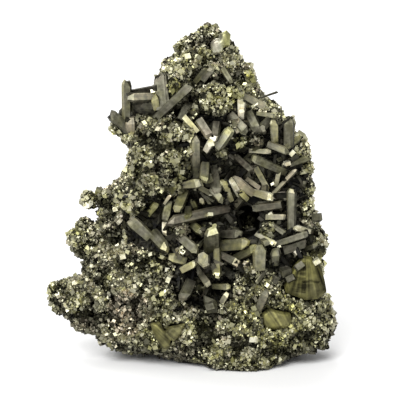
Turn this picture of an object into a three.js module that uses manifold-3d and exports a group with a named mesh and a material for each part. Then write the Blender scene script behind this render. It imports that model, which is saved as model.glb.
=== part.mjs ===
// Pyrite specimen: a pyramidal mass crusted with small pyrite crystals, with a large hollow in its
// front that is lined with flat bladed crystals, and a few smooth brassy crystals on its lower half.
// It stands on the flat face where it was broken from the rock.
//
// Millimetres, +Z up, the front faces -Y. The origin is the middle of the bottom of the bounding box.

import * as THREE from 'three';
import { mergeVertices } from 'three/addons/utils/BufferGeometryUtils.js';
import { ImprovedNoise } from 'three/addons/math/ImprovedNoise.js';
import Module from 'manifold-3d';

const wasm = await Module();
wasm.setup();

// Places on the front are given as a viewer a little above the horizontal sees them: millimetres
// across from the middle, millimetres up from the lowest point in view, and the depth behind the
// middle plane.
const VIEW_TILT = THREE.MathUtils.degToRad(12);
const FOOT_DEPTH = -30;

// The front of the mass leans back with height and curves away to both sides.
const FRONT = { foot: -27, lean: 0.17, middle: 8, reach: 50, curve: 12 };
// The back leans forward with height and curves in to both sides.
const BACK = { foot: 27, lean: 0.1, middle: 4, reach: 50, curve: 12 };

// The hollow and the shallow hollows that run out of it, each as [across, up, half its width, half
// its height, depth below the front].
const HOLLOWS = [
  [18, 73, 26, 28, 9],
  [-13, 60, 12, 9, 4],
  [6, 38, 10, 12, 4],
  [38, 50, 11, 8, 3],
];
// How much wider and deeper than its hollow a crust is, and how far its middle lies behind it.
const CRUST = { rim: 3, deep: 7, behind: 2 };

// Clearance between a crystal and the seat it grows from.
const SEAT_GAP = 0.34;

// Crystals have flat faces, so the surface of the mass is coarse: about this long a facet across,
// deep and tall.
const FACET = new THREE.Vector3(5.8, 6.4, 5.8);
// How far each corner of the surface is moved at random, as a share of a facet.
const FACET_SHIFT = 0.3;
// Neighbouring lumps run into each other over this width.
const BLEND = 1.4;
// How far the crags of the druse stand out, how wide they are and how their pattern is turned.
const CRAGS = [
  { height: 2, width: 9, turn: new THREE.Euler(0.6, 0.5, 0.9) },
  { height: 1.2, width: 5, turn: new THREE.Euler(1.1, 2.3, 0.4) },
];

const BLADE_THINNESS = 0.5;
// How far out of the hollow a tip stands, from 0 at its floor to 1 at the front.
const TIP_SHARE = 0.95;
const BLADE_SINK = 1.5;
const BLADE_RISE = 1.2;
// Narrower blades are plain four-sided bars. From these widths on some have six sides, and the end
// narrows over a length of its own.
const SIX_SIDED_FROM = 4.1;
const TAPERED_FROM = 3.5;
// The most that a blade turns about its length, and how slanting its end can be.
const BLADE_TURN = 1.3;
const END_SLANT = 1.1;

// The first numbers that the chance of each kind of piece is drawn from.
const SEEDS = {
  cubes: 30,
  summit: 40,
  ledge: 80,
  crust: 500,
  ledgeSeats: 600,
  knob: 620,
  crevices: 640,
  pits: 680,
  scoops: 700,
  frontBlade: 901,
};

const noise = new ImprovedNoise();

// A steady random number from 0 to 1 for a named row.
function chance(seed) {
  return THREE.MathUtils.seededRandom(seed * 7919 + 101);
}

function seen(across, up, depth) {
  const lowest = FOOT_DEPTH * Math.sin(VIEW_TILT);
  const height = (up + lowest - depth * Math.sin(VIEW_TILT)) / Math.cos(VIEW_TILT);
  return new THREE.Vector3(across, depth, height);
}

function frontDepth(across, up) {
  const side = (across - FRONT.middle) / FRONT.reach;
  return FRONT.foot + FRONT.lean * up + FRONT.curve * side * side;
}

function backDepth(across, height) {
  const side = (across - BACK.middle) / BACK.reach;
  return BACK.foot - BACK.lean * height - BACK.curve * side * side;
}

// The middle of a scoop lies in front of the mass by this share of half the hollow's width.
const SCOOP_FORWARD = 0.55;

// The round scoop that leaves a hollow: its middle, and its radii across, deep and tall.
function scoop([across, up, halfWidth, halfHeight, below]) {
  const forward = halfWidth * SCOOP_FORWARD;
  const deep = forward + below;
  const spread = Math.sqrt(1 - (forward / deep) ** 2);
  const depth = massDepth(across, up) - forward;
  return { across, up, depth, radii: [halfWidth / spread, deep, halfHeight / spread] };
}

// Depth of the front surface of the mass at a place, or nothing where the mass doesn't reach.
const SEARCH = { from: -45, to: 30, step: 0.5 };
function massDepth(across, up) {
  for (let depth = SEARCH.from; depth < SEARCH.to; depth += SEARCH.step) {
    if (outsideMass(seen(across, up, depth)) < 0) {
      return depth;
    }
  }
  return undefined;
}

// Depth of the surface that a crystal grows on at a place: the mass, or the floor of a hollow.
function floorDepth(across, up) {
  const floors = HOLLOWS.map(scoop).map((round) => {
    const x = (across - round.across) / round.radii[0];
    const z = (up - round.up) / round.radii[2];
    return round.depth + round.radii[1] * Math.sqrt(Math.max(1 - x * x - z * z, 0));
  });
  return Math.max(massDepth(across, up), ...floors);
}

// A closed mesh as a solid that can be joined and cut.
function solidOf(geometry) {
  const bare = geometry.clone();
  bare.deleteAttribute('normal');
  bare.deleteAttribute('uv');
  const merged = mergeVertices(bare, 1e-4);
  return new wasm.Manifold(
    new wasm.Mesh({
      numProp: 3,
      vertProperties: new Float32Array(merged.attributes.position.array),
      triVerts: new Uint32Array(merged.index.array),
    }),
  );
}

function geometryOf(solid) {
  const mesh = solid.getMesh();
  const geometry = new THREE.BufferGeometry();
  geometry.setAttribute('position', new THREE.BufferAttribute(new Float32Array(mesh.vertProperties), 3));
  geometry.setIndex(new THREE.BufferAttribute(new Uint32Array(mesh.triVerts), 1));
  geometry.computeVertexNormals();
  return geometry;
}

function joined(solids) {
  return solids.reduce((whole, solid) => whole.add(solid));
}

// The largest piece of a solid, without the crumbs that a cut leaves.
function largest(solid) {
  return solid.decompose().reduce((a, b) => (a.volume() > b.volume() ? a : b));
}

// A craggy rounded lump about a middle, with radii across, deep and tall. A positive grow makes a
// seat for it and a negative one makes it smaller.
function lump(middle, radii, seed, { grow = 0, swell = 0.05, jitter = 0.4, detail = 1 } = {}) {
  const geometry = new THREE.IcosahedronGeometry(1, detail);
  const position = geometry.attributes.position;
  const way = new THREE.Vector3();
  for (let i = 0; i < position.count; i += 1) {
    way.fromBufferAttribute(position, i);
    const broad = noise.noise(way.x * 1.7 + seed, way.y * 1.7, way.z * 1.7);
    const fine = noise.noise(way.x * 9 + seed, way.y * 9 + 5, way.z * 9);
    const reach = 1 + swell * broad;
    const extra = jitter * fine + grow;
    position.setXYZ(
      i,
      middle.x + way.x * (radii[0] * reach + extra),
      middle.y + way.y * (radii[1] * reach + extra),
      middle.z + way.z * (radii[2] * reach + extra),
    );
  }
  return solidOf(geometry);
}

// The four cells round each of the three edges of the grid that leave a corner, as steps from the
// corner: first the edge, then the cells in their order.
const RINGS = [
  [[1, 0, 0], [[0, 0, 0], [0, -1, 0], [0, -1, -1], [0, 0, -1]]],
  [[0, 1, 0], [[0, 0, 0], [0, 0, -1], [-1, 0, -1], [-1, 0, 0]]],
  [[0, 0, 1], [[0, 0, 0], [-1, 0, 0], [-1, -1, 0], [0, -1, 0]]],
];

// The two ways that each of the three squares of the grid at a corner runs.
const SQUARES = [
  [[1, 0, 0], [0, 1, 0]],
  [[0, 1, 0], [0, 0, 1]],
  [[1, 0, 0], [0, 0, 1]],
];
const JUST_INSIDE = -0.1;

// Where the corners of a square lie inside and outside by turns, two sheets of the surface would
// share an edge. The outside corner that is nearest to the surface is moved inside.
function fillCheckered(values, [nx, ny, nz], at) {
  let changed = true;
  while (changed) {
    changed = false;
    for (let k = 0; k < nz - 1; k += 1) {
      for (let j = 0; j < ny - 1; j += 1) {
        for (let i = 0; i < nx - 1; i += 1) {
          for (const [u, v] of SQUARES) {
            const corners = [
              at(i, j, k),
              at(i + u[0], j + u[1], k + u[2]),
              at(i + u[0] + v[0], j + u[1] + v[1], k + u[2] + v[2]),
              at(i + v[0], j + v[1], k + v[2]),
            ];
            const inside = corners.map((place) => values[place] < 0);
            if (inside[0] === inside[2] && inside[1] === inside[3] && inside[0] !== inside[1]) {
              const [a, b] = inside[0] ? [corners[1], corners[3]] : [corners[0], corners[2]];
              values[values[a] < values[b] ? a : b] = JUST_INSIDE;
              changed = true;
            }
          }
        }
      }
    }
  }
}

// The surface where a field of distances is zero: one point in each cell of a grid that the surface
// crosses, and a four-sided face across each edge of the grid that it crosses.
function surfaceOf(field, box, cell) {
  const size = box.getSize(new THREE.Vector3()).divide(cell).ceil();
  const [nx, ny, nz] = [size.x + 1, size.y + 1, size.z + 1];
  const at = (i, j, k) => i + nx * (j + ny * k);
  const corner = (i, j, k) => new THREE.Vector3(i, j, k).multiply(cell).add(box.min);
  const values = new Float32Array(nx * ny * nz);
  for (let k = 0; k < nz; k += 1) {
    for (let j = 0; j < ny; j += 1) {
      for (let i = 0; i < nx; i += 1) {
        values[at(i, j, k)] = field(corner(i, j, k));
      }
    }
  }
  fillCheckered(values, [nx, ny, nz], at);
  const points = [];
  const pointOf = new Map();
  const point = (i, j, k) => {
    const key = at(i, j, k);
    if (!pointOf.has(key)) {
      pointOf.set(key, points.length);
      const middle = middleOfCrossings(i, j, k, (a, b, c) => values[at(a, b, c)], corner);
      const shift = [key, key + 0.3, key + 0.7].map((seed) => (chance(seed) - 0.5) * FACET_SHIFT);
      points.push(middle.add(new THREE.Vector3(...shift).multiply(cell)));
    }
    return pointOf.get(key);
  };
  const faces = [];
  for (let k = 1; k < nz - 1; k += 1) {
    for (let j = 1; j < ny - 1; j += 1) {
      for (let i = 1; i < nx - 1; i += 1) {
        const here = values[at(i, j, k)] < 0;
        for (const [step, round] of RINGS) {
          const next = values[at(i + step[0], j + step[1], k + step[2])] < 0;
          if (here !== next) {
            const ring = round.map(([x, y, z]) => point(i + x, j + y, k + z));
            faces.push(...halves(here ? ring : ring.reverse(), points));
          }
        }
      }
    }
  }
  return new wasm.Manifold(
    new wasm.Mesh({
      numProp: 3,
      vertProperties: new Float32Array(points.flatMap((place) => place.toArray())),
      triVerts: new Uint32Array(faces),
    }),
  );
}

// The middle of the places where the surface crosses the edges of one cell.
function middleOfCrossings(i, j, k, value, corner) {
  const sum = new THREE.Vector3();
  let count = 0;
  for (let n = 0; n < 8; n += 1) {
    const from = [i + (n & 1), j + ((n >> 1) & 1), k + (n >> 2)];
    for (let axis = 0; axis < 3; axis += 1) {
      const to = [...from];
      to[axis] += 1;
      if ((n >> axis) & 1 || value(...from) < 0 === value(...to) < 0) {
        continue;
      }
      const share = value(...from) / (value(...from) - value(...to));
      sum.add(corner(...from).lerp(corner(...to), share));
      count += 1;
    }
  }
  return sum.divideScalar(count);
}

// A four-sided face as two triangles that meet on its shorter diagonal.
function halves([a, b, c, d], points) {
  const short = points[a].distanceTo(points[c]) < points[b].distanceTo(points[d]);
  return short ? [a, b, c, a, c, d] : [a, b, d, b, c, d];
}

// A flat crystal from its root to its tip. The section has four or six sides, and the end is a
// chisel that can be cut aslant. Roll turns the broad face away from the viewer.
function blade(root, tip, width, seed, { thinness = BLADE_THINNESS, roll, sides, grow = 0 } = {}) {
  const axis = tip.clone().sub(root);
  const length = axis.length();
  axis.normalize();
  const turn = roll ?? (chance(seed) - 0.5) * BLADE_TURN;
  const corners = sides ?? (width > SIX_SIDED_FROM && chance(seed + 3) < 0.6 ? 6 : 4);
  const levels = width > TAPERED_FROM ? 2 : 1;
  const chisel = 0.25 + 0.6 * chance(seed + 5);
  const slant = (chance(seed + 9) - 0.5) * END_SLANT;
  const toViewer = new THREE.Vector3(0, -1, 0.2);
  const face = toViewer.addScaledVector(axis, -toViewer.dot(axis)).normalize();
  face.applyAxisAngle(axis, turn);
  const side = new THREE.Vector3().crossVectors(axis, face);
  const half = width / 2 + grow;
  const thick = (width / 2) * thinness * (0.85 + 0.4 * chance(seed + 1)) + grow;
  const taper = Math.min(length * 0.3, width * 0.5);
  const stations = levels === 2 ? [-grow, length - taper + grow, length + grow] : [-grow, length + grow];
  const start = corners === 4 ? Math.PI / 4 : Math.PI / 6;
  const geometry = new THREE.CylinderGeometry(1, 1, 1, corners, levels, false, start);
  const position = geometry.attributes.position;
  const place = new THREE.Vector3();
  for (let i = 0; i < position.count; i += 1) {
    const level = Math.round((position.getY(i) + 0.5) * levels);
    const narrow = level === levels ? 0.62 + 0.3 * chisel : 1;
    const thin = level === levels ? chisel : 1;
    const [across, through] = sectionPoint(position.getX(i), position.getZ(i), corners);
    const reach = stations[level] + (level > 0 ? slant * half * across : 0);
    place.copy(root);
    place.addScaledVector(axis, reach);
    place.addScaledVector(side, across * half * narrow);
    place.addScaledVector(face, through * thick * thin);
    position.setXYZ(i, place.x, place.y, place.z);
  }
  return solidOf(geometry);
}

// Where a corner of the section stands, from -1 to 1 across the blade and through it.
function sectionPoint(x, z, corners) {
  if (corners === 4) {
    return [Math.sign(x), Math.sign(z)];
  }
  if (Math.abs(z) < 0.1) {
    return [Math.sign(x), 0];
  }
  return [0.72 * Math.sign(x), Math.sign(z)];
}

// A row [across, up, across, up, width, rise] as a blade from the surface that it grows on. Its tip
// stands most of the way out of the hollow, and out by its rise. A tip that is clear of the mass
// stays as deep as its root.
function bladeFromRow(row, seed, options) {
  const [fromAcross, fromUp, toAcross, toUp, width, rise = BLADE_RISE] = row;
  const rootFloor = floorDepth(fromAcross, fromUp);
  const tipFront = massDepth(toAcross, toUp);
  const tipFloor = tipFront === undefined ? rootFloor : floorDepth(toAcross, toUp);
  const tipDepth = tipFloor + TIP_SHARE * ((tipFront ?? rootFloor) - tipFloor) - rise;
  const root = seen(fromAcross, fromUp, rootFloor + BLADE_SINK);
  const tip = seen(toAcross, toUp, tipDepth);
  return blade(root, tip, width, seed, options);
}

// The lumps of the front, each as [across, up, radius, proud]: proud is how far it stands out of
// the leaning front, and a negative one lies behind it.
const SUMMIT = [
  [8.5, 133.4, 7.2, -5],
  [2.4, 126.4, 10, -3],
  [14.6, 125.6, 8.4, -3],
  [-3.6, 119, 10.4, -2],
  [17, 116.4, 10.2, -3],
  [7, 117, 13, -1],
  [26.8, 105.5, 8, -4],
  [10.5, 108.4, 8, 4],
  [-6.5, 113.5, 3.6, 2],
  [2.5, 112, 3.4, 3],
  [-9, 108, 9, -4],
];
const RIGHT_RIM = [
  [36.6, 98.4, 6, -4],
  [42.5, 91, 5.5, -3],
  [45.5, 83, 5, -2],
  [46, 75, 5, -1],
  [46.5, 67.5, 4.6, -1],
  [48.4, 61, 4.6, -2],
  [50.6, 52.4, 5, -3],
  [53, 46, 3.6, -4],
];
const UPPER_LEFT = [
  [-28, 100, 4.4, -4],
  [-20, 101, 6, -5],
  [-14, 103, 8, -6],
  [-23.6, 95, 4.2, -4],
  [-6.8, 95, 5.2, 2],
  [-14, 93, 6, -2],
  [-18.6, 86, 6.2, 0],
  [-10.8, 85, 5, 2],
  [-2.8, 81, 5, 3],
  [-6, 74, 5.2, 3],
  [-16, 75, 6.8, 1],
  [-21, 67.5, 6.4, 1],
  [-24.6, 75.6, 5.6, -3],
  [-28, 66.4, 7, -3],
  [-31.6, 71.4, 4.6, -4],
];
// The knob on its neck at the left, in the same form. It is too small for the facets of the mass.
const KNOB = [
  [-40.9, 68.6, 3.9, -4],
  [-36.6, 70, 3.6, -4],
];
const LOWER_LEFT = [
  [-32.5, 59, 6.4, -3],
  [-43.2, 53.4, 7.3, -2],
  [-36, 51, 8, -2],
  [-22, 48, 7.6, 1],
  [-31, 44, 9, -1],
  [-38.6, 41.4, 7, -1],
  [-16, 41, 8, 1],
  [-51.6, 30.6, 6.6, -2],
  [-45.4, 31.4, 7.4, -1],
  [-37.5, 34.5, 10, -1],
  [-28, 32.5, 11, 0],
  [-16, 32, 10.5, 1],
  [-44.8, 24, 6.6, -1],
  [-36, 20.4, 8.2, -1],
  [-26, 16.4, 9.4, -1],
];
const LOWER_FRONT = [
  [-4, 29, 10, 0],
  [-16, 16.4, 9.6, -1],
  [-5, 15.6, 9.6, 0],
  [5, 14.6, 11.6, 0],
  [8, 21, 12, 0],
  [15.5, 8.5, 10, 3],
  [24, 7.5, 10.5, 3],
  [22, 19, 12, 1],
  [20, 32, 9, 0],
  [29, 35, 8, 0],
  [33.6, 14, 9.4, 0],
  [40, 24.5, 10, 0],
  [43, 17.6, 9, -1],
  [51, 24.6, 7.8, -2],
  [51.6, 16.6, 6.8, -3],
  [53.4, 11, 3.8, -3],
];
// The bed under the blades of the hollow, which the hollows are cut into.
const HOLLOW_BED = [
  [37, 51, 9, 0],
  [43, 59, 8, 0],
  [26, 45, 10, 0],
  [14, 41, 10, 0],
  [2, 45, 9, 0],
  [-6, 53, 9, 0],
  [-14, 61, 9, 0],
  [-5, 70, 9, 0],
  [-2, 90, 9, 0],
  [30, 98, 9, 0],
  [40, 88, 8, 0],
  [46, 39, 8.5, -1],
];

// The lumps of the back and the flanks, each as [across, height, radius], just inside the back.
const BACK_LUMPS = [
  [8, 126, 8],
  [2, 114, 11],
  [18, 108, 12],
  [-8, 98, 12],
  [8, 96, 14],
  [28, 92, 12],
  [-16, 80, 13],
  [4, 76, 16],
  [24, 74, 15],
  [38, 70, 10],
  [-24, 60, 13],
  [-4, 54, 17],
  [20, 52, 17],
  [40, 48, 12],
  [-38, 44, 8],
  [-30, 36, 13],
  [-10, 30, 16],
  [14, 26, 18],
  [36, 26, 15],
  [-42, 26, 8],
  [-22, 14, 13],
  [2, 10, 14],
  [28, 8, 14],
  [46, 14, 9],
];

// The solid heart of the mass as rounded blocks, each as its middle and its radii, in true
// millimetres.
const HEART = [
  [12, 1, 9, 33, 20, 15],
  [4, 0, 28, 46, 18, 18],
  [10, 2, 52, 34, 16, 26],
  [12, 4, 80, 26, 13, 26],
  [10, 5, 106, 16, 11, 22],
];

// Dark openings between lumps, each as [across, up, radius, tall, deep].
const CREVICES = [
  [-20.5, 104.5, 2, 3, 5],
  [-25.8, 50.8, 1.6, 2.4, 4],
  [-25, 33.5, 2, 1.6, 4],
  [-6, 29, 1.8, 1.6, 4],
  [-38, 61.5, 2, 2.6, 4],
];

// Black gaps between the blades, each as [across, up, radius, tall, deep].
const CRUST_PITS = [
  [23, 61, 5.5, 8, 9],
  [3.5, 54, 3, 3.6, 6],
];

// The blades of the hollow, each as [across, up] of the root, [across, up] of the tip, the width,
// and how far the tip rises out of the surface.
const HOLLOW_BLADES = [
  [20, 110.5, 30.8, 104.8, 3.6, 3],
  [20.4, 101.5, 20.4, 108, 3.4, 4],
  [16, 103, 22.6, 95.6, 4.2, 2],
  [23.4, 103.6, 27, 95.8, 4, 2],
  [31.6, 100.6, 27, 96, 3.4, 1],
  [11, 90, 16, 96.6, 4.2, 4],
  [3.6, 100.6, 8.2, 93.6, 3.6, 2],
  [10.6, 99.6, 9.6, 93, 3.6, 2],
  [6.4, 88.4, 9.8, 94, 3.2, 4],
  [2.4, 77.4, 2, 93.8, 4.2, 2.5],
  [38, 79.8, 24.8, 85.4, 3.4, 2.5],
  [18.4, 86, 24.2, 80.6, 2.6, 1.5],
  [31, 91, 39, 87.8, 3, 2],
  [33.8, 91.6, 33.2, 99.8, 3.2, 2],
  [39.2, 90, 39.2, 101, 4.2, 1.5],
  [39.6, 82.6, 47.8, 85.8, 2.6, 2],
  [24, 72.2, 32.4, 69.8, 3.4, 4],
  [32.6, 70.2, 39, 70.4, 3.4, 3],
  [24.8, 71.6, 17.2, 77, 4.2, 3.5],
  [16.6, 68.8, 13.4, 76.4, 3, 3.5],
  [22.6, 69, 19.8, 71.8, 2.6, 4],
  [40.4, 55.6, 40.4, 73.2, 3.8, 3],
  [-2, 74.6, 4.2, 75.6, 3.8, 3],
  [-1.6, 73.4, -5, 64.8, 3.8, 2.5],
  [-8.2, 68.2, -9.8, 60.8, 3.4, 1.5],
  [-0.8, 65.8, -0.8, 61.4, 3.4, 1.5],
  [15.8, 65.4, -8.4, 60.2, 4.2, 4],
  [6.2, 83.2, 5.6, 76.4, 3.8, 2],
  [9.4, 82, 10.8, 71.6, 4.2, 2],
  [8.4, 73.2, 13, 68.4, 2.6, 2.5],
  [8.8, 48.6, 8.8, 58.6, 6, 5],
  [11.8, 50.6, 22.8, 51.6, 4.6, 5],
  [12.8, 55.2, 20, 55.4, 3.8, 3],
  [-3.6, 54, 3, 48.4, 3.8, 2],
  [-0.4, 60.4, 4.6, 55.6, 3.4, 1.5],
  [25, 65.4, 36.8, 67, 3.4, 3],
  [47.6, 56.2, 41.6, 57.8, 2.6, 3],
  [26.4, 55, 33.6, 51.4, 2.4, 4],
  [33.6, 51, 46.4, 55.4, 2.6, 4],
  [36.8, 48.6, 46.4, 51.8, 3.4, 2.5],
  [44.8, 48.6, 50.6, 51, 2.6, 2],
  [34, 43.4, 34, 49, 4.2, 2],
  [27.6, 41.4, 27.6, 51, 5.4, 3.5],
  [18, 45.4, 25.6, 49.8, 3.4, 2.5],
  [5.6, 43.6, 5.6, 45.6, 5.8, 6],
  [10.8, 49.2, 10.8, 38.6, 3.4, 5],
  [12, 47, 18.8, 43.8, 3.4, 3],
  [-3.2, 41, 2.2, 43.8, 2.6, 3],
  [3.6, 40.4, 7.4, 35.2, 2.6, 3],
  [-1.6, 44.6, -8.4, 46.2, 3.8, 2],
  [0.4, 36.4, -2.6, 29.8, 4.4, 2],
  [9.2, 34.4, 15.6, 34.4, 2.6, 2],
  [8.8, 24.2, 8, 30, 5.2, 1.5],
  [-16, 54, -23.6, 61, 5, 3],
  [-16.8, 62.8, -13, 67.6, 3, 1.5],
  [-15, 55.6, -9, 49.2, 4.6, 3],
];

// Cubes of the hollow that show a bright facet, each as [across, up, half size].
const HOLLOW_CUBES = [
  [37.5, 40.8, 2.6],
  [41, 37.6, 2.2],
];

// Blades of the upper left ledge, in the same form as the blades of the hollow.
const LEDGE_BLADES = [
  [-25.2, 101, -25.2, 116, 3.7, 1],
  [-12, 109.8, -24.6, 109.6, 3.7, 1.5],
  [-14, 114.4, -24, 112.8, 3, -3],
  [-24, 96.6, -31.4, 102.8, 4.2, 2],
  [-23.4, 96.4, -23.6, 101.4, 5, 4],
  [-11, 104.4, -12, 118.6, 5, 1],
  [-14, 109, -14.4, 113.8, 2.2, 4],
  [-13, 104.8, -14, 109.8, 3, 4],
  [-13.6, 101.2, 0.2, 113.8, 3.4, 2.5],
  [-4, 100.4, 0, 107.6, 3.8, 0.5],
  [3.2, 95.6, -3, 102.4, 2.2, 3.5],
];
const LEDGE_SEATS = [
  [-15, 106, 2, [10, 6, 6.5]],
  [-24, 102, 3, [5, 5, 5]],
];

// Small blades of the summit, fused to the mass.
const SUMMIT_BLADES = [
  [2, 115.4, 7, 121, 2.2, 2],
  [5, 116, 9, 121.4, 3.2, 1.5],
  [13, 121, 16.6, 115, 2.2, 2],
  [27, 109, 34.2, 111.6, 1.2, -6],
];

// The lumps of the mass as balls, each as its middle and its radius.
function massLumps() {
  const rows = [...SUMMIT, ...RIGHT_RIM, ...UPPER_LEFT, ...LOWER_LEFT, ...LOWER_FRONT, ...HOLLOW_BED];
  const front = rows.map(([across, up, radius, proud]) => {
    const depth = frontDepth(across, up) + radius - proud;
    return { middle: seen(across, up, depth), radius };
  });
  const back = BACK_LUMPS.map(([across, height, radius]) => {
    const depth = backDepth(across, height) - radius;
    return { middle: new THREE.Vector3(across, depth, height), radius };
  });
  return [...front, ...back];
}

function knobLumps() {
  return KNOB.map(([across, up, radius, proud], i) =>
    lump(seen(across, up, frontDepth(across, up) + radius - proud), [radius, radius, radius], SEEDS.knob + i),
  );
}

// How far a place is outside the mass, less than zero inside it.
function massField() {
  const lumps = massLumps();
  const hearts = HEART.map(([x, y, z, ...radii]) => ({
    middle: new THREE.Vector3(x, y, z),
    radii: new THREE.Vector3(...radii),
  }));
  const offset = new THREE.Vector3();
  return (place) => {
    const distances = [
      ...lumps.map(({ middle, radius }) => place.distanceTo(middle) - radius),
      ...hearts.map(({ middle, radii }) => {
        const reach = offset.subVectors(place, middle).divide(radii).length();
        return (reach - 1) * Math.min(radii.x, radii.y, radii.z);
      }),
    ];
    const nearest = Math.min(...distances);
    const near = distances.filter((distance) => distance < nearest + BLEND);
    const blend = near.reduce((sum, distance) => sum + (1 - (distance - nearest) / BLEND) ** 2, -1);
    const crags = CRAGS.map(({ height, width, turn }) => {
      offset.copy(place).applyEuler(turn).divideScalar(width);
      return height * noise.noise(offset.x, offset.y, offset.z);
    });
    return nearest - 0.25 * BLEND * Math.min(blend, 2) - crags[0] - crags[1];
  };
}

const outsideMass = massField();

function mass() {
  const room = new THREE.Box3(new THREE.Vector3(-70, -50, -16), new THREE.Vector3(72, 44, 150));
  return surfaceOf(outsideMass, room, FACET);
}

// Openings cut back from the surface, each as deep as its row says.
function openings(rows, depthAt, seed) {
  return rows.map(([across, up, radius, tall, deep], i) => {
    const middle = seen(across, up, depthAt(across, up));
    return lump(middle, [radius, deep, tall], seed + i, { detail: radius > 4 ? 1 : 0 });
  });
}

function seats(rows, seed, grow) {
  return joined(
    rows.map(([across, up, depth, radii], i) => lump(seen(across, up, depth), radii, seed + i, { grow })),
  );
}

// The room that the crust of the hollows fills behind their floors.
function crustSeats(grow) {
  return joined(
    HOLLOWS.map(([across, up, halfWidth, halfHeight, below], i) => {
      const middle = seen(across, up, massDepth(across, up) + CRUST.behind);
      const radii = [halfWidth + CRUST.rim, below + CRUST.deep, halfHeight + CRUST.rim];
      return lump(middle, radii, SEEDS.crust + i, { grow, swell: 0.14, detail: i === 0 ? 2 : 1 });
    }),
  );
}

function scoops() {
  return joined(
    HOLLOWS.map(scoop).map(({ across, up, depth, radii }, i) => {
      const shape = { swell: 0.06, jitter: 1.8, detail: i === 0 ? 3 : 1 };
      return lump(seen(across, up, depth), radii, SEEDS.scoops + i, shape);
    }),
  );
}

// A small cube turned so that a corner or an edge points out.
function cube(across, up, half, seed, grow) {
  const side = (half + grow) * 2;
  const geometry = new THREE.BoxGeometry(side, side, side);
  geometry.rotateX(chance(seed) * Math.PI);
  geometry.rotateY(chance(seed + 1) * Math.PI);
  const middle = seen(across, up, floorDepth(across, up) - half * 0.9);
  geometry.translate(middle.x, middle.y, middle.z);
  return solidOf(geometry);
}

// The ground that nothing reaches below.
function ground() {
  const geometry = new THREE.BoxGeometry(300, 300, 60);
  geometry.translate(0, 0, -30);
  return solidOf(geometry);
}

// The smooth crystals of the front, each as slabs with rounded edges. A slab has its outline as
// [across, up], its thickness, and how far its face stands out of the mass.
const SLABS = {
  right_fan_crystal: [
    {
      outline: [
        [44.8, 46.8], [48.5, 46.2], [52, 42.8], [53.6, 37], [54.4, 32.4],
        [51, 29.6], [46, 29], [38, 32], [37.2, 35.2], [41, 42.4],
      ],
      thick: 9,
      proud: 3,
    },
  ],
  front_fan_crystal: [
    {
      outline: [
        [28.4, 23.6], [31.2, 26], [36, 24.6], [40, 24], [40.6, 20.8], [38.8, 18.2], [32.8, 17], [30, 16.8],
        [28, 20],
      ],
      thick: 7,
      proud: 3.4,
    },
  ],
  foot_slab_crystal: [
    {
      outline: [[-16, 20], [-12, 20.6], [-9.2, 15.6], [-7.4, 11.4], [-8.6, 9.4], [-11, 9.8], [-13.4, 13.6]],
      thick: 6,
      proud: 2.4,
    },
    {
      outline: [[-8.4, 18.6], [-1.6, 20.2], [-2, 16.4], [-6.4, 12.6], [-10.4, 15.6]],
      thick: 5,
      proud: 1.4,
    },
  ],
  summit_facet_crystal: [
    {
      outline: [[8.2, 126.6], [8.2, 131.2], [10.4, 133], [12.9, 132], [12.9, 127.4], [10.8, 126.2]],
      thick: 4,
      proud: 1.4,
    },
    {
      outline: [[11.4, 130.2], [12, 134.6], [14.4, 136.2], [16.2, 134.4], [15.8, 130], [13.2, 129]],
      thick: 4,
      proud: 1,
    },
  ],
};
const SLAB_EDGE = 1.2;

// The middle of an outline, as [across, up].
function middleOf(outline) {
  return [0, 1].map((n) => outline.reduce((sum, place) => sum + place[n], 0) / outline.length);
}

function slab({ outline, thick, proud }, depth, grow) {
  const [across, up] = middleOf(outline);
  const edge = Math.min(SLAB_EDGE, thick / 4);
  const shape = new THREE.Shape(outline.map(([x, z]) => new THREE.Vector2(x - across, z - up)));
  const geometry = new THREE.ExtrudeGeometry(shape, {
    depth: thick - edge * 2 + grow * 2,
    bevelThickness: edge,
    bevelSize: edge,
    bevelOffset: grow - edge,
    bevelSegments: 1,
  });
  geometry.translate(0, 0, edge - thick - grow);
  geometry.rotateX(Math.PI / 2 - VIEW_TILT);
  const middle = seen(across, up, depth - proud);
  geometry.translate(middle.x, middle.y, middle.z);
  return solidOf(geometry);
}

// A smooth crystal, all of whose slabs are as deep as the surface under the first.
function smoothCrystal(name, grow = 0) {
  const depth = massDepth(...middleOf(SLABS[name][0].outline));
  return joined(SLABS[name].map((row) => slab(row, depth, grow)));
}

const FRONT_BLADE = [27, 24.6, 30.2, 32.6, 2.6, 3];

function frontBlade(grow = 0) {
  const [fromAcross, fromUp, toAcross, toUp, width, rise] = FRONT_BLADE;
  const root = seen(fromAcross, fromUp, massDepth(fromAcross, fromUp) + BLADE_SINK);
  const tip = seen(toAcross, toUp, massDepth(toAcross, toUp) - rise);
  return blade(root, tip, width, SEEDS.frontBlade, { thinness: 0.9, sides: 4, grow });
}

function hollowBlades(grow) {
  return joined(HOLLOW_BLADES.map((row, i) => bladeFromRow(row, i, { grow })));
}

function hollowCubes(grow) {
  return joined(HOLLOW_CUBES.map(([across, up, half], i) => cube(across, up, half, SEEDS.cubes + i, grow)));
}

// The ledge's blades with the lumps that they grow from.
function ledgeCluster(grow) {
  const blades = LEDGE_BLADES.map((row, i) => bladeFromRow(row, SEEDS.ledge + i, { roll: 0.25, grow }));
  return seats(LEDGE_SEATS, SEEDS.ledgeSeats, grow).add(joined(blades));
}

function smoothSeats() {
  return joined(Object.keys(SLABS).map((name) => smoothCrystal(name, SEAT_GAP)));
}

// The mass with its knob and the small blades of its summit, before anything is cut from it.
function wholeMass() {
  const blades = SUMMIT_BLADES.map((row, i) => bladeFromRow(row, SEEDS.summit + i));
  return joined([mass(), ...knobLumps(), ...blades]);
}

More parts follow.
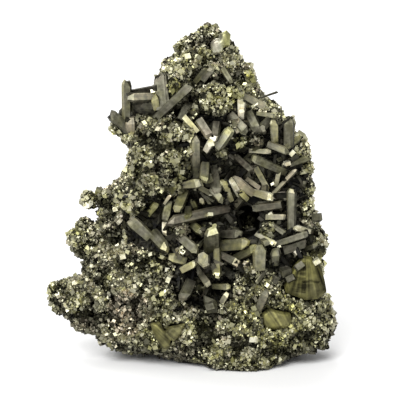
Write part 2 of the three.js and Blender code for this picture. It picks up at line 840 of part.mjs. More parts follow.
function druseMatrix() {
  const body = wholeMass()
    .subtract(ground())
    .subtract(crustSeats(SEAT_GAP))
    .subtract(hollowBlades(SEAT_GAP))
    .subtract(hollowCubes(SEAT_GAP))
    .subtract(ledgeCluster(SEAT_GAP))
    .subtract(joined(openings(CREVICES, frontDepth, SEEDS.crevices)))
    .subtract(smoothSeats())
    .subtract(frontBlade(SEAT_GAP));
  return largest(body);
}

function hollowBladeCrust() {
  const crust = crustSeats(0)
    .intersect(wholeMass())
    .subtract(scoops())
    .subtract(joined(openings(CRUST_PITS, floorDepth, SEEDS.pits)))
    .add(hollowBlades(0))
    .add(hollowCubes(0))
    .subtract(smoothSeats())
    .subtract(ledgeCluster(SEAT_GAP));
  return largest(crust);
}

function ledgeBlades() {
  return largest(ledgeCluster(0));
}

// Every finish is bare pyrite, darker and duller where its crystals are smaller.
function druseFinish() {
  return new THREE.MeshStandardMaterial({ color: 0x6d6b52, roughness: 0.4, metalness: 0.9 });
}

function bladedFinish() {
  return new THREE.MeshStandardMaterial({ color: 0x5b584c, roughness: 0.35, metalness: 0.9 });
}

function ledgeFinish() {
  return new THREE.MeshStandardMaterial({ color: 0x8a8374, roughness: 0.35, metalness: 0.9 });
}

function brassyFinish() {
  return new THREE.MeshStandardMaterial({ color: 0x76753f, roughness: 0.35, metalness: 0.9 });
}

function paleFinish() {
  return new THREE.MeshStandardMaterial({ color: 0xa9a98f, roughness: 0.3, metalness: 0.9 });
}

function specimen() {
  return {
    druse_matrix: [druseMatrix(), druseFinish()],
    hollow_blade_crust: [hollowBladeCrust(), bladedFinish()],
    ledge_blades: [ledgeBlades(), ledgeFinish()],
    right_fan_crystal: [smoothCrystal('right_fan_crystal'), brassyFinish()],
    front_fan_crystal: [smoothCrystal('front_fan_crystal'), brassyFinish()],
    foot_slab_crystal: [smoothCrystal('foot_slab_crystal'), brassyFinish()],
    summit_facet_crystal: [smoothCrystal('summit_facet_crystal'), paleFinish()],
    front_blade: [frontBlade(), ledgeFinish()],
  };
}

// Every piece as a named mesh, with the middle of the bottom of the whole at the origin.
function specimenGroup() {
  const group = new THREE.Group();
  const box = new THREE.Box3();
  for (const [name, [solid, finish]] of Object.entries(specimen())) {
    const mesh = new THREE.Mesh(geometryOf(solid), finish);
    mesh.name = name;
    group.add(mesh);
    box.expandByObject(mesh);
  }
  const middle = box.getCenter(new THREE.Vector3());
  group.position.set(-middle.x, -middle.y, -box.min.z);
  return group;
}

export default specimenGroup();
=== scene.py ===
"""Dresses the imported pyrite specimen: druse, bladed and smooth crystals, floor, light, camera."""

import logging
import math
from dataclasses import dataclass
from enum import Enum

import bpy
import numpy as np
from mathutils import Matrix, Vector
from mathutils.bvhtree import BVHTree


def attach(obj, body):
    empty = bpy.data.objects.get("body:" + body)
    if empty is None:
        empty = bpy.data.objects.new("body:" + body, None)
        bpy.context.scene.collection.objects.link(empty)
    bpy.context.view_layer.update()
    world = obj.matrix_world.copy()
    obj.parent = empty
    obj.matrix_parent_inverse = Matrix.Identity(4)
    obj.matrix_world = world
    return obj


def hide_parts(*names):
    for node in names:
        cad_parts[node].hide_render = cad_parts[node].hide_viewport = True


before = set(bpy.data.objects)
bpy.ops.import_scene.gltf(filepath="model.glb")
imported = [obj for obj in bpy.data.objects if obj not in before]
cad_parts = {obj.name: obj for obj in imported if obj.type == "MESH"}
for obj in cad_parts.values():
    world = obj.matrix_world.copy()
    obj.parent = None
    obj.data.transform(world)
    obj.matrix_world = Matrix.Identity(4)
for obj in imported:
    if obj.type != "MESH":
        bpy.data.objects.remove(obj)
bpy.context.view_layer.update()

MM = 0.001
BODY = "root"
# The tone and hue of a shell before it gets its own, and how much each smoothing moves a point.
MIDDLE = 0.5
SOFTNESS = 0.5
# Lengths and areas below these count as nothing.
TINY = 1e-9
TINY_LENGTH = 1e-12
TINY_AREA = 1e-15
# How many places a scatter tries for each square of its spacing.
TRIES = 4
# The rays that find how open a place lies: the start of their chance, and how far off they begin.
OPEN_SEED = 77
OPEN_LIFT = 0.4 * MM
# Nearly all of a noise lies between these two values.
NOISE_RANGE = {"From Min": 0.3, "From Max": 0.7}

logging.basicConfig(level=logging.INFO, format="%(message)s")
LOG = logging.getLogger("pyrite")


class Habit(Enum):
    """The forms that the small crystals grow in."""

    CUBE = "cube"
    CUBE_ON_CORNER = "cube on corner"
    OCTAHEDRON = "octahedron"


# Places on the front are given as millimetres across from the middle and millimetres up from the
# lowest point in view, as a viewer a little above the horizontal sees them.

# Crystals of the hollow, each as across and up of its root, across and up of its tip, its width,
# the tone of its faces and the tone of its end. Tones run from 0, nearly black, to 1, white; they
# are partly each crystal's own colour and partly painted light and shade, the palest faces and
# ends being painted highlights.
HOLLOW_BLADES = (
    (20.0, 110.5, 30.8, 104.8, 3.6, 0.60, 0.50),
    (26.4, 103.2, 33.6, 102.0, 1.8, 0.55, 0.40),
    (20.4, 101.5, 20.4, 108.0, 3.4, 0.95, 0.80),
    (16.0, 103.0, 22.6, 95.6, 4.2, 0.42, 0.35),
    (23.4, 103.6, 27.0, 95.8, 4.0, 0.40, 0.30),
    (31.6, 100.6, 27.0, 96.0, 3.4, 0.32, 0.25),
    (11.0, 90.0, 16.0, 96.6, 4.2, 1.00, 0.85),
    (3.6, 100.6, 8.2, 93.6, 3.6, 0.45, 0.35),
    (10.6, 99.6, 9.6, 93.0, 3.6, 0.30, 0.25),
    (6.4, 88.4, 9.8, 94.0, 3.2, 0.90, 1.00),
    (2.4, 77.4, 2.0, 93.8, 4.2, 0.50, 0.55),
    (23.6, 88.4, 32.2, 88.0, 2.2, 0.58, 0.60),
    (38.0, 79.8, 24.8, 85.4, 3.4, 0.36, 0.45),
    (18.4, 86.0, 24.2, 80.6, 2.6, 0.35, 0.30),
    (26.2, 82.0, 31.4, 72.6, 2.2, 0.60, 0.65),
    (22.4, 77.4, 29.0, 72.6, 1.8, 0.60, 0.60),
    (21.6, 85.2, 29.0, 91.8, 1.2, 0.35, 0.40),
    (31.0, 91.0, 39.0, 87.8, 3.0, 0.48, 0.35),
    (33.8, 91.6, 33.2, 99.8, 3.2, 0.62, 0.70),
    (39.2, 90.0, 39.2, 101.0, 4.2, 0.30, 0.35),
    (38.0, 89.4, 43.8, 93.8, 2.2, 0.55, 0.60),
    (39.6, 82.6, 47.8, 85.8, 2.6, 0.36, 0.40),
    (32.2, 70.2, 42.2, 81.0, 1.8, 0.58, 0.55),
    (34.2, 74.4, 35.4, 80.2, 1.8, 0.60, 0.55),
    (24.0, 72.2, 32.4, 69.8, 3.4, 0.78, 0.80),
    (32.6, 70.2, 39.0, 70.4, 3.4, 0.86, 0.60),
    (24.8, 71.6, 17.2, 77.0, 4.2, 0.68, 0.60),
    (16.6, 68.8, 13.4, 76.4, 3.0, 0.72, 0.75),
    (19.8, 70.8, 16.2, 77.0, 2.2, 0.85, 0.70),
    (22.6, 69.0, 19.8, 71.8, 2.6, 0.65, 0.70),
    (40.4, 55.6, 40.4, 73.2, 3.8, 0.45, 0.60),
    (-2.0, 74.6, 4.2, 75.6, 3.8, 0.62, 0.55),
    (-1.6, 73.4, -5.0, 64.8, 3.8, 0.55, 0.60),
    (-8.2, 68.2, -9.8, 60.8, 3.4, 0.38, 0.35),
    (-10.2, 67.2, -7.8, 70.8, 1.2, 0.62, 0.70),
    (-10.0, 60.0, -10.0, 54.8, 2.2, 0.86, 0.80),
    (-0.8, 65.8, -0.8, 61.4, 3.4, 0.38, 0.45),
    (0.6, 69.2, 2.6, 64.8, 2.2, 0.34, 0.30),
    (15.8, 65.4, -8.4, 60.2, 4.2, 0.46, 0.40),
    (6.2, 83.2, 5.6, 76.4, 3.8, 0.50, 0.55),
    (9.4, 82.0, 10.8, 71.6, 4.2, 0.42, 0.40),
    (3.6, 73.8, 9.0, 71.0, 2.2, 0.62, 0.95),
    (8.4, 73.2, 13.0, 68.4, 2.6, 0.45, 0.45),
    (4.2, 72.0, 8.2, 67.0, 1.2, 0.32, 0.35),
    (5.0, 71.0, 9.6, 68.2, 1.2, 0.34, 0.35),
    (8.8, 48.6, 8.8, 57.8, 6.0, 0.42, 0.92),
    (11.8, 50.6, 22.8, 51.6, 4.6, 0.56, 0.62),
    (12.8, 55.2, 20.0, 55.4, 3.8, 0.36, 0.42),
    (-3.6, 54.0, 3.0, 48.4, 3.8, 0.46, 0.40),
    (-0.4, 60.4, 4.6, 55.6, 3.4, 0.44, 0.40),
    (36.8, 67.0, 25.0, 65.4, 3.4, 0.52, 0.85),
    (30.4, 62.0, 38.0, 62.0, 2.2, 0.58, 0.55),
    (33.2, 58.6, 38.4, 55.0, 2.2, 0.42, 0.45),
    (47.6, 56.2, 41.6, 57.8, 2.6, 0.80, 0.85),
    (26.4, 55.0, 33.6, 51.4, 2.4, 0.90, 0.78),
    (33.6, 51.0, 46.4, 55.4, 2.6, 0.42, 0.45),
    (36.8, 48.6, 46.4, 51.8, 3.4, 0.37, 0.42),
    (44.8, 48.6, 50.6, 51.0, 2.6, 0.38, 0.42),
    (34.0, 43.4, 34.0, 49.0, 4.2, 0.42, 0.50),
    (27.6, 41.4, 27.6, 51.0, 5.4, 0.55, 0.45),
    (18.0, 45.4, 25.6, 49.8, 3.4, 0.54, 0.55),
    (10.8, 49.2, 10.8, 38.6, 3.4, 0.66, 0.88),
    (12.0, 47.0, 18.8, 43.8, 3.4, 0.42, 0.72),
    (-3.2, 41.0, 2.2, 43.8, 2.6, 0.72, 0.80),
    (3.6, 40.4, 7.4, 35.2, 2.6, 0.56, 0.62),
    (-1.6, 44.6, -8.4, 46.2, 3.8, 0.54, 0.66),
    (0.4, 36.4, -2.6, 29.8, 4.4, 0.38, 0.45),
    (9.2, 34.4, 15.6, 34.4, 2.6, 0.55, 0.60),
    (12.0, 26.8, 15.0, 32.0, 2.2, 0.60, 0.72),
    (8.8, 24.2, 8.0, 30.0, 5.2, 0.26, 0.50),
    (-16.0, 54.0, -23.6, 61.0, 5.0, 0.46, 0.55),
    (-16.8, 62.8, -13.0, 67.6, 3.0, 0.45, 0.50),
    (-15.0, 55.6, -9.0, 49.2, 4.6, 0.36, 0.62),
)
# Crystals that point at the viewer and show a six-sided end, each as across, up, width and tone.
END_ON_CRYSTALS = (
    (5.6, 45.0, 5.6, 0.58),
    (5.0, 68.0, 2.4, 0.70),
    (29.0, 96.6, 2.6, 0.50),
)
# Crystals of the ledge at the upper left, in the form of those of the hollow.
LEDGE_BLADES = (
    (-25.2, 101.0, -25.2, 116.0, 3.7, 0.47, 0.40),
    (-12.0, 109.8, -24.6, 109.2, 3.5, 0.56, 0.54),
    (-13.0, 113.2, -24.2, 111.6, 2.2, 0.18, 0.18),
    (-24.0, 96.6, -31.4, 102.8, 4.2, 0.34, 0.34),
    (-23.4, 96.4, -23.6, 101.4, 5.0, 0.56, 0.52),
    (-11.0, 104.4, -12.0, 118.6, 5.0, 0.42, 0.44),
    (-8.2, 104.0, -10.4, 118.8, 2.2, 0.36, 0.40),
    (-14.0, 109.0, -14.4, 113.8, 2.2, 0.66, 0.76),
    (-13.0, 104.8, -14.0, 109.8, 3.0, 0.60, 0.62),
    (-13.6, 101.2, 0.2, 113.8, 3.4, 0.38, 0.34),
    (-4.0, 100.4, 0.0, 107.6, 3.8, 0.37, 0.42),
    (3.2, 95.6, -3.0, 102.4, 2.2, 0.72, 0.68),
)
# The blade on the druse of the lower front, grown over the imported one.
FRONT_BLADES = (
    (27.0, 24.8, 30.2, 32.8, 3.2, 0.50, 0.55),
)
# The dark crystals under the summit.
SUMMIT_BLADES = (
    (2.0, 115.4, 7.0, 121.0, 2.2, 0.32, 0.35),
    (5.0, 116.0, 9.0, 121.4, 3.2, 0.34, 0.45),
    (13.0, 121.0, 16.6, 115.0, 2.2, 0.42, 0.40),
    (27.0, 109.0, 35.0, 111.9, 0.7, 0.30, 0.30),
)
# Clean single crystals that stand out, each as across, up, half its width, its turn in degrees and
# its tone. The near-white tones are painted glints.
SINGLE_CRYSTALS = (
    (40.4, 87.6, 1.5, 45.0, 1.00),
    (38.4, 83.6, 1.4, 10.0, 1.00),
    (33.2, 75.2, 0.9, 30.0, 1.00),
    (32.4, 63.6, 1.1, 35.0, 0.97),
    (7.8, 62.8, 1.3, 5.0, 1.00),
    (20.6, 104.0, 1.2, 20.0, 0.95),
    (8.6, 91.2, 1.5, 15.0, 0.97),
    (35.4, 50.2, 0.9, 25.0, 0.92),
    (42.2, 47.8, 1.6, 40.0, 1.00),
    (50.0, 44.4, 1.7, 30.0, 1.00),
    (-14.2, 111.8, 1.3, 10.0, 0.95),
    (-29.6, 65.4, 1.2, 20.0, 0.95),
    (-28.2, 60.2, 1.3, 50.0, 0.97),
    (-8.2, 37.6, 1.5, 70.0, 0.95),
    (-26.6, 46.6, 1.4, 15.0, 1.00),
    (43.2, 42.2, 2.2, 38.0, 0.46),
    (37.8, 40.6, 2.6, 12.0, 0.33),
    (40.4, 37.6, 2.1, 25.0, 0.24),
    (33.6, 37.6, 1.8, 60.0, 0.34),
    (8.4, 27.4, 2.2, 20.0, 0.38),
    (50.2, 61.6, 2.6, 8.0, 0.34),
    (-6.0, 57.2, 1.0, 20.0, 0.50),
)
# Round clusters of druse inside the hollow, each as across, up, radius and hue.
HOLLOW_BALLS = (
    (-4.0, 57.5, 3.8, 0.45),
    (31.2, 56.6, 3.0, 0.60),
    (26.4, 93.0, 2.6, 0.40),
    (20.8, 92.4, 2.4, 0.90),
    (2.0, 33.0, 2.6, 0.50),
    (17.6, 98.4, 2.2, 0.50),
    (12.6, 88.0, 2.4, 0.70),
    (-3.2, 81.2, 3.8, 0.55),
    (-6.4, 74.2, 3.6, 0.50),
    (-7.4, 85.4, 3.4, 0.50),
    (-1.8, 88.4, 3.0, 0.60),
    (-1.2, 95.0, 2.8, 0.60),
    (46.0, 66.0, 2.6, 0.50),
    (47.0, 74.0, 2.8, 0.60),
    (10.4, 108.4, 6.4, 0.65),
    (17.6, 111.0, 3.2, 0.65),
    (-6.4, 113.6, 2.4, 1.00),
    (-6.8, 95.2, 4.0, 0.60),
    (-19.2, 85.6, 5.2, 0.55),
    (-16.0, 75.2, 4.6, 0.55),
    (-22.2, 67.6, 4.4, 0.55),
    (34.8, 12.8, 1.7, 1.00),
    (-40.4, 68.8, 3.3, 0.50),
    (-42.0, 58.0, 3.6, 0.50),
    (-45.0, 53.6, 3.6, 0.50),
    (-38.6, 54.0, 3.8, 0.50),
    (-19.4, 101.2, 2.2, 0.50),
    (-29.8, 97.4, 2.0, 0.50),
)
# Round lumps of the druse that show on the front, each as across, up, radius and hue.
DRUSE_BALLS = (
    (10.4, 108.0, 7.6, 0.60),
    (-6.4, 113.6, 2.8, 1.00),
    (2.4, 112.0, 2.4, 0.60),
    (-6.8, 95.2, 4.4, 0.60),
    (-19.2, 85.6, 6.4, 0.60),
    (-10.8, 84.8, 3.2, 0.55),
    (-2.8, 80.8, 4.0, 0.50),
    (-6.0, 74.0, 4.0, 0.50),
    (-16.0, 74.8, 5.6, 0.60),
    (-21.2, 67.6, 5.6, 0.55),
    (-40.8, 68.8, 3.6, 0.50),
    (6.0, 127.0, 3.2, 0.75),
    (26.0, 119.0, 4.0, 0.85),
    (-26.0, 36.0, 8.0, 0.60),
    (-4.0, 16.0, 6.0, 0.55),
)
# Other places of the druse with a hue of their own, in the same form.
HUE_SPOTS = (
    (-24.0, 24.0, 9.0, 0.15),
    (34.0, 20.0, 12.0, 0.65),
    (-46.0, 52.0, 9.0, 0.60),
)
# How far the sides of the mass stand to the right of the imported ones: up, then the shift of the
# left side and that of the right side.
SIDE_SHIFTS = (
    (0.0, 0.0, 0.0),
    (6.0, 1.6, 3.0),
    (9.6, 0.0, 6.0),
    (12.8, -2.4, 2.6),
    (16.0, -2.4, 1.6),
    (19.2, -4.2, 0.6),
    (22.4, -1.8, 0.0),
    (28.8, -3.2, 0.0),
    (32.0, -3.8, 0.0),
    (35.2, -2.6, 0.0),
    (38.4, 3.2, 0.0),
    (41.6, 1.2, 0.0),
    (44.8, 3.4, 0.0),
    (48.0, 0.0, 2.8),
    (51.2, 0.0, 2.4),
    (57.6, -2.4, 0.4),
    (60.8, 1.2, 0.0),
    (64.0, 0.0, 0.0),
    (78.0, 0.8, 0.0),
    (83.2, 4.2, 0.4),
    (86.4, 4.4, 0.2),
    (89.6, 3.0, -0.6),
    (93.0, 0.0, -0.8),
    (105.6, 0.0, 0.0),
    (108.8, 0.0, -2.6),
    (112.0, 0.0, -3.2),
    (118.4, 0.4, -2.4),
    (124.8, 1.6, -2.0),
    (134.4, 0.6, -1.6),
    (140.0, 0.0, 0.0),
)
# The nodes whose feet the druse rises to.
SMOOTH_NODES = ("right_fan_crystal", "front_fan_crystal", "foot_slab_crystal", "front_blade")
# The gap in the hollow whose grains get a painted black shadow and where no small blades,
# splinters or sugar grains grow, as across, up and half its width and height.
SHADOW_GAP = (23.8, 61.8, 5.6, 9.6)


# Places and meshes


@dataclass(frozen=True)
class FrontView:
    """Places on the front, as a viewer a little above the horizontal sees them, in millimetres.

    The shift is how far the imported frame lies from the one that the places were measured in.
    """

    tilt: float = math.radians(12.0)
    foot_depth: float = -30.0
    shift_mm: tuple[float, float] = (-1.91, 1.15)
    start_depth: float = -60.0

    def point(self, across: float, up: float, depth: float) -> np.ndarray:
        """Gives a place of the front in the frame.

        Args:
            across: millimetres to the right of the middle.
            up: millimetres above the lowest point in view.
            depth: millimetres behind the middle plane.

        Returns:
            The place, in metres.
        """
        lowest = self.foot_depth * math.sin(self.tilt)
        height = (up + lowest - depth * math.sin(self.tilt)) / math.cos(self.tilt)
        return np.array([across + self.shift_mm[0], depth + self.shift_mm[1], height]) * MM

    def seen(self, places: np.ndarray) -> np.ndarray:
        """Tells where the viewer sees places.

        Args:
            places: one row for each place, in metres.

        Returns:
            Across and up for each, in millimetres.
        """
        across = places[:, 0] / MM - self.shift_mm[0]
        depth = places[:, 1] / MM - self.shift_mm[1]
        lowest = self.foot_depth * math.sin(self.tilt)
        up = places[:, 2] / MM * math.cos(self.tilt) + depth * math.sin(self.tilt) - lowest
        return np.stack([across, up], axis=1)

    def into(self) -> np.ndarray:
        """The direction in which the viewer looks."""
        return np.array([0.0, math.cos(self.tilt), -math.sin(self.tilt)])

    def hit(self, tree: BVHTree, across: float, up: float) -> np.ndarray | None:
        """Finds the surface that the viewer sees at a place.

        Args:
            tree: the surfaces to look at.
            across: millimetres to the right of the middle.
            up: millimetres above the lowest point in view.

        Returns:
            The place in metres, or None where the viewer sees past the specimen.
        """
        start = self.point(across, up, self.start_depth)
        place, _, _, _ = tree.ray_cast(Vector(start), Vector(self.into()))
        return None if place is None else np.array(place)


VIEW = FrontView()


@dataclass
class Shell:
    """Triangles with a tone and a hue each, a painted shade at every point and flat coordinates."""

    points: np.ndarray
    corners: np.ndarray
    tones: np.ndarray
    hues: np.ndarray
    shades: np.ndarray
    flats: np.ndarray

    @staticmethod
    def plain(points: np.ndarray, corners: np.ndarray) -> "Shell":
        """Makes a shell of middle tone and hue with no shade.

        Args:
            points: one row for each point, in metres.
            corners: three point numbers for each triangle.

        Returns:
            The shell.
        """
        count = len(corners)
        flats = points[corners][:, :, [0, 2]]
        tones, hues = np.full(count, MIDDLE), np.full(count, MIDDLE)
        return Shell(points, corners, tones, hues, np.ones(len(points)), flats)

    @staticmethod
    def joined(shells: list["Shell"]) -> "Shell":
        """Puts several shells into one.

        Args:
            shells: the shells.

        Returns:
            All their triangles as one shell.
        """
        offsets = np.cumsum([0] + [len(s.points) for s in shells[:-1]])
        return Shell(
            np.concatenate([s.points for s in shells]),
            np.concatenate([s.corners + offset for s, offset in zip(shells, offsets)]),
            np.concatenate([s.tones for s in shells]),
            np.concatenate([s.hues for s in shells]),
            np.concatenate([s.shades for s in shells]),
            np.concatenate([s.flats for s in shells]),
        )

    @staticmethod
    def of_object(piece: bpy.types.Object) -> "Shell":
        """Reads an object's triangles, modifiers included.

        Args:
            piece: the object, whose mesh is in place.

        Returns:
            The shell.
        """
        graph = bpy.context.evaluated_depsgraph_get()
        mesh = bpy.data.meshes.new_from_object(piece.evaluated_get(graph))
        mesh.calc_loop_triangles()
        points = np.zeros(len(mesh.vertices) * 3)
        mesh.vertices.foreach_get("co", points)
        corners = np.zeros(len(mesh.loop_triangles) * 3, np.int32)
        mesh.loop_triangles.foreach_get("vertices", corners)
        bpy.data.meshes.remove(mesh)
        return Shell.plain(points.reshape(-1, 3), corners.reshape(-1, 3))

    @staticmethod
    def fine(source: bpy.types.Object, voxel: float, rounds: int) -> "Shell":
        """Reads an object as an even net of small triangles.

        Args:
            source: the object.
            voxel: the size of the net, in metres.
            rounds: how often it is smoothed.

        Returns:
            The shell.
        """
        copy = bpy.data.objects.new("fine_source", source.data.copy())
        bpy.context.scene.collection.objects.link(copy)
        remesh = copy.modifiers.new("fine", "REMESH")
        remesh.mode = "VOXEL"
        remesh.voxel_size = voxel
        smooth = copy.modifiers.new("soft", "SMOOTH")
        smooth.factor, smooth.iterations = SOFTNESS, rounds
        shell = Shell.of_object(copy)
        bpy.data.objects.remove(copy)
        return shell

    def tree(self) -> BVHTree:
        """The triangles as a tree that rays can be cast at."""
        return BVHTree.FromPolygons(self.points.tolist(), self.corners.tolist())

    def normals(self) -> tuple[np.ndarray, np.ndarray]:
        """Works out which way each triangle faces.

        Returns:
            One unit row for each triangle, and the areas in square metres.
        """
        a, b, c = (self.points[self.corners[:, n]] for n in range(3))
        cross = np.cross(b - a, c - a)
        length = np.linalg.norm(cross, axis=1)
        return cross / np.maximum(length, TINY_AREA)[:, None], length / 2

    def point_normals(self) -> np.ndarray:
        """Works out which way the surface faces at each point.

        Returns:
            One unit row for each point.
        """
        normals, _ = self.normals()
        rows = np.zeros_like(self.points)
        for n in range(3):
            np.add.at(rows, self.corners[:, n], normals)
        return rows / np.maximum(np.linalg.norm(rows, axis=1), TINY)[:, None]

    def to_object(
        self, name: str, finish: bpy.types.Material, smooth: bool = False
    ) -> bpy.types.Object:
        """Makes a mesh object that rides on the specimen and stays above the floor.

        Args:
            name: the piece's name.
            finish: its material.
            smooth: whether its facets are blended.

        Returns:
            The object.
        """
        points = self.points.copy()
        points[:, 2] = np.maximum(points[:, 2], 0)
        mesh = bpy.data.meshes.new(name)
        mesh.vertices.add(len(points))
        mesh.vertices.foreach_set("co", points.astype(np.float32).ravel())
        mesh.loops.add(self.corners.size)
        mesh.loops.foreach_set("vertex_index", self.corners.astype(np.int32).ravel())
        mesh.polygons.add(len(self.corners))
        mesh.polygons.foreach_set("loop_start", np.arange(0, self.corners.size, 3, dtype=np.int32))
        mesh.polygons.foreach_set("use_smooth", np.full(len(self.corners), smooth))
        mesh.update()
        layers = (
            ("tone", "FACE", self.tones),
            ("hue", "FACE", self.hues),
            ("shade", "POINT", self.shades),
        )
        for label, domain, values in layers:
            layer = mesh.attributes.new(label, "FLOAT", domain)
            layer.data.foreach_set("value", values.astype(np.float32))
        flat = mesh.uv_layers.new(name="flat")
        flat.data.foreach_set("uv", self.flats.astype(np.float32).ravel())
        mesh.materials.append(finish)
        mesh.validate()
        piece = bpy.data.objects.new(name, mesh)
        bpy.context.scene.collection.objects.link(piece)
        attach(piece, BODY)
        return piece


def scattered(
    shell: Shell, keep: np.ndarray, spacing: float, rng: np.random.Generator
) -> tuple[np.ndarray, np.ndarray, np.ndarray]:
    """Scatters places over a shell, about evenly.

    Args:
        shell: the surface.
        keep: whether each triangle may get places.
        spacing: the distance between places, in metres.
        rng: the source of chance.

    Returns:
        The places, the way that the surface faces at each and the shade there.
    """
    normals, areas = shell.normals()
    weights = np.where(keep, areas, 0.0)
    count = int(TRIES * weights.sum() / spacing**2)
    chosen = rng.choice(len(areas), count, p=weights / weights.sum())
    u, v = rng.random(count), rng.random(count)
    over = u + v > 1
    u[over], v[over] = 1 - u[over], 1 - v[over]
    rows = shell.corners[chosen]
    a, b, c = (shell.points[rows[:, n]] for n in range(3))
    places = a + u[:, None] * (b - a) + v[:, None] * (c - a)
    cells = np.floor(places / spacing).astype(int)
    _, first = np.unique(cells, axis=0, return_index=True)
    first = np.sort(first)
    return places[first], normals[chosen[first]], shell.shades[rows[first, 0]]


def turned(normals: np.ndarray, lean: np.ndarray, rng: np.random.Generator) -> np.ndarray:
    """Makes a turn for each crystal whose third axis is near the way that the surface faces.

    Args:
        normals: the way that the surface faces at each crystal.
        lean: how far each leans, as the tangent of the angle.
        rng: the source of chance.

    Returns:
        One three by three matrix for each crystal, with its axes as columns.
    """
    axis = normals + lean[:, None] * rng.normal(size=normals.shape)
    axis /= np.linalg.norm(axis, axis=1)[:, None]
    side = np.cross(axis, rng.normal(size=normals.shape))
    side /= np.linalg.norm(side, axis=1)[:, None]
    return np.stack([side, np.cross(axis, side), axis], axis=2)


def openness(
    places: np.ndarray, normals: np.ndarray, tree: BVHTree, reach: float, rays: int
) -> np.ndarray:
    """Finds how open each place lies.

    Args:
        places: the places.
        normals: the way that the surface faces at each.
        tree: the surfaces that can cover them.
        reach: how far off a surface still covers a place, in metres.
        rays: how many directions are tried.

    Returns:
        From 0, shut in, to 1, open, for each place.
    """
    rng = np.random.default_rng(OPEN_SEED)
    ways = rng.normal(size=(rays, 3))
    ways /= np.linalg.norm(ways, axis=1)[:, None]
    free = np.zeros(len(places))
    for n, (place, normal) in enumerate(zip(places, normals)):
        start = Vector(place + normal * OPEN_LIFT)
        for way in ways:
            out = way if way @ normal > 0 else -way
            free[n] += tree.ray_cast(start, Vector(out), reach)[0] is None
    return free / rays


# Crystals

CUBE_POINTS = np.array([[x, y, z] for x in (-1, 1) for y in (-1, 1) for z in (-1, 1)], float)
CUBE_CORNERS = np.array([
    [0, 1, 3], [0, 3, 2], [4, 6, 7], [4, 7, 5], [0, 4, 5], [0, 5, 1],
    [2, 3, 7], [2, 7, 6], [0, 2, 6], [0, 6, 4], [1, 5, 7], [1, 7, 3],
])
OCTAHEDRON_POINTS = np.array(
    [[1, 0, 0], [-1, 0, 0], [0, 1, 0], [0, -1, 0], [0, 0, 1], [0, 0, -1]], float
)
OCTAHEDRON_CORNERS = np.array([
    [0, 2, 4], [2, 1, 4], [1, 3, 4], [3, 0, 4], [2, 0, 5], [1, 2, 5], [3, 1, 5], [0, 3, 5],
])
# A cube that stands on a corner, so that the opposite corner points out.
CORNER_OUT = np.array([
    [1 / math.sqrt(2), -1 / math.sqrt(2), 0],
    [1 / math.sqrt(6), 1 / math.sqrt(6), -2 / math.sqrt(6)],
    [1 / math.sqrt(3), 1 / math.sqrt(3), 1 / math.sqrt(3)],
])
FORMS = {
    Habit.CUBE: (CUBE_POINTS, CUBE_CORNERS),
    Habit.CUBE_ON_CORNER: (CUBE_POINTS @ CORNER_OUT.T, CUBE_CORNERS),
    Habit.OCTAHEDRON: (OCTAHEDRON_POINTS, OCTAHEDRON_CORNERS),
}


@dataclass
class Swarm:
    """Many small crystals: their middles, turns, half widths in metres, tones, hues and shades."""

    middles: np.ndarray
    turns: np.ndarray
    sizes: np.ndarray
    tones: np.ndarray
    hues: np.ndarray
    shades: np.ndarray

    def part(self, chosen: np.ndarray) -> "Swarm":
        """Takes some of the crystals.

        Args:
            chosen: whether each is taken.

        Returns:
            Those crystals.
        """
        rows = (self.middles, self.turns, self.sizes, self.tones, self.hues, self.shades)
        return Swarm(*(row[chosen] for row in rows))

    def grown(self, habit: Habit) -> Shell:
        """Makes the crystals.

        Args:
            habit: their form.

        Returns:
            All of them as one shell.
        """
        points, corners = FORMS[habit]
        count, rows = len(self.middles), len(corners)
        scaled = points[None, :, :] * self.sizes[:, None, :]
        world = self.middles[:, None, :] + np.einsum("nij,nkj->nki", self.turns, scaled)
        numbers = corners[None, :, :] + (np.arange(count) * len(points))[:, None, None]
        flats = np.tile(points[corners][None, :, :, :2], (count, 1, 1, 1))
        flats = flats * self.sizes[:, None, None, :2]
        return Shell(
            world.reshape(-1, 3),
            numbers.reshape(-1, 3),
            np.repeat(self.tones, rows),
            np.repeat(self.hues, rows),
            np.repeat(self.shades, len(points)),
            flats.reshape(-1, 3, 2),
        )


# The direction of the light painted on crystals: sides towards it get a painted highlight, the
# others painted shade, and hidden faces keep this share of the tone as painted shade.
PAINTED_LIGHT_DIRECTION = np.array([-0.65, -0.2, 0.73])
PAINTED_BACK_SHADE = 0.6


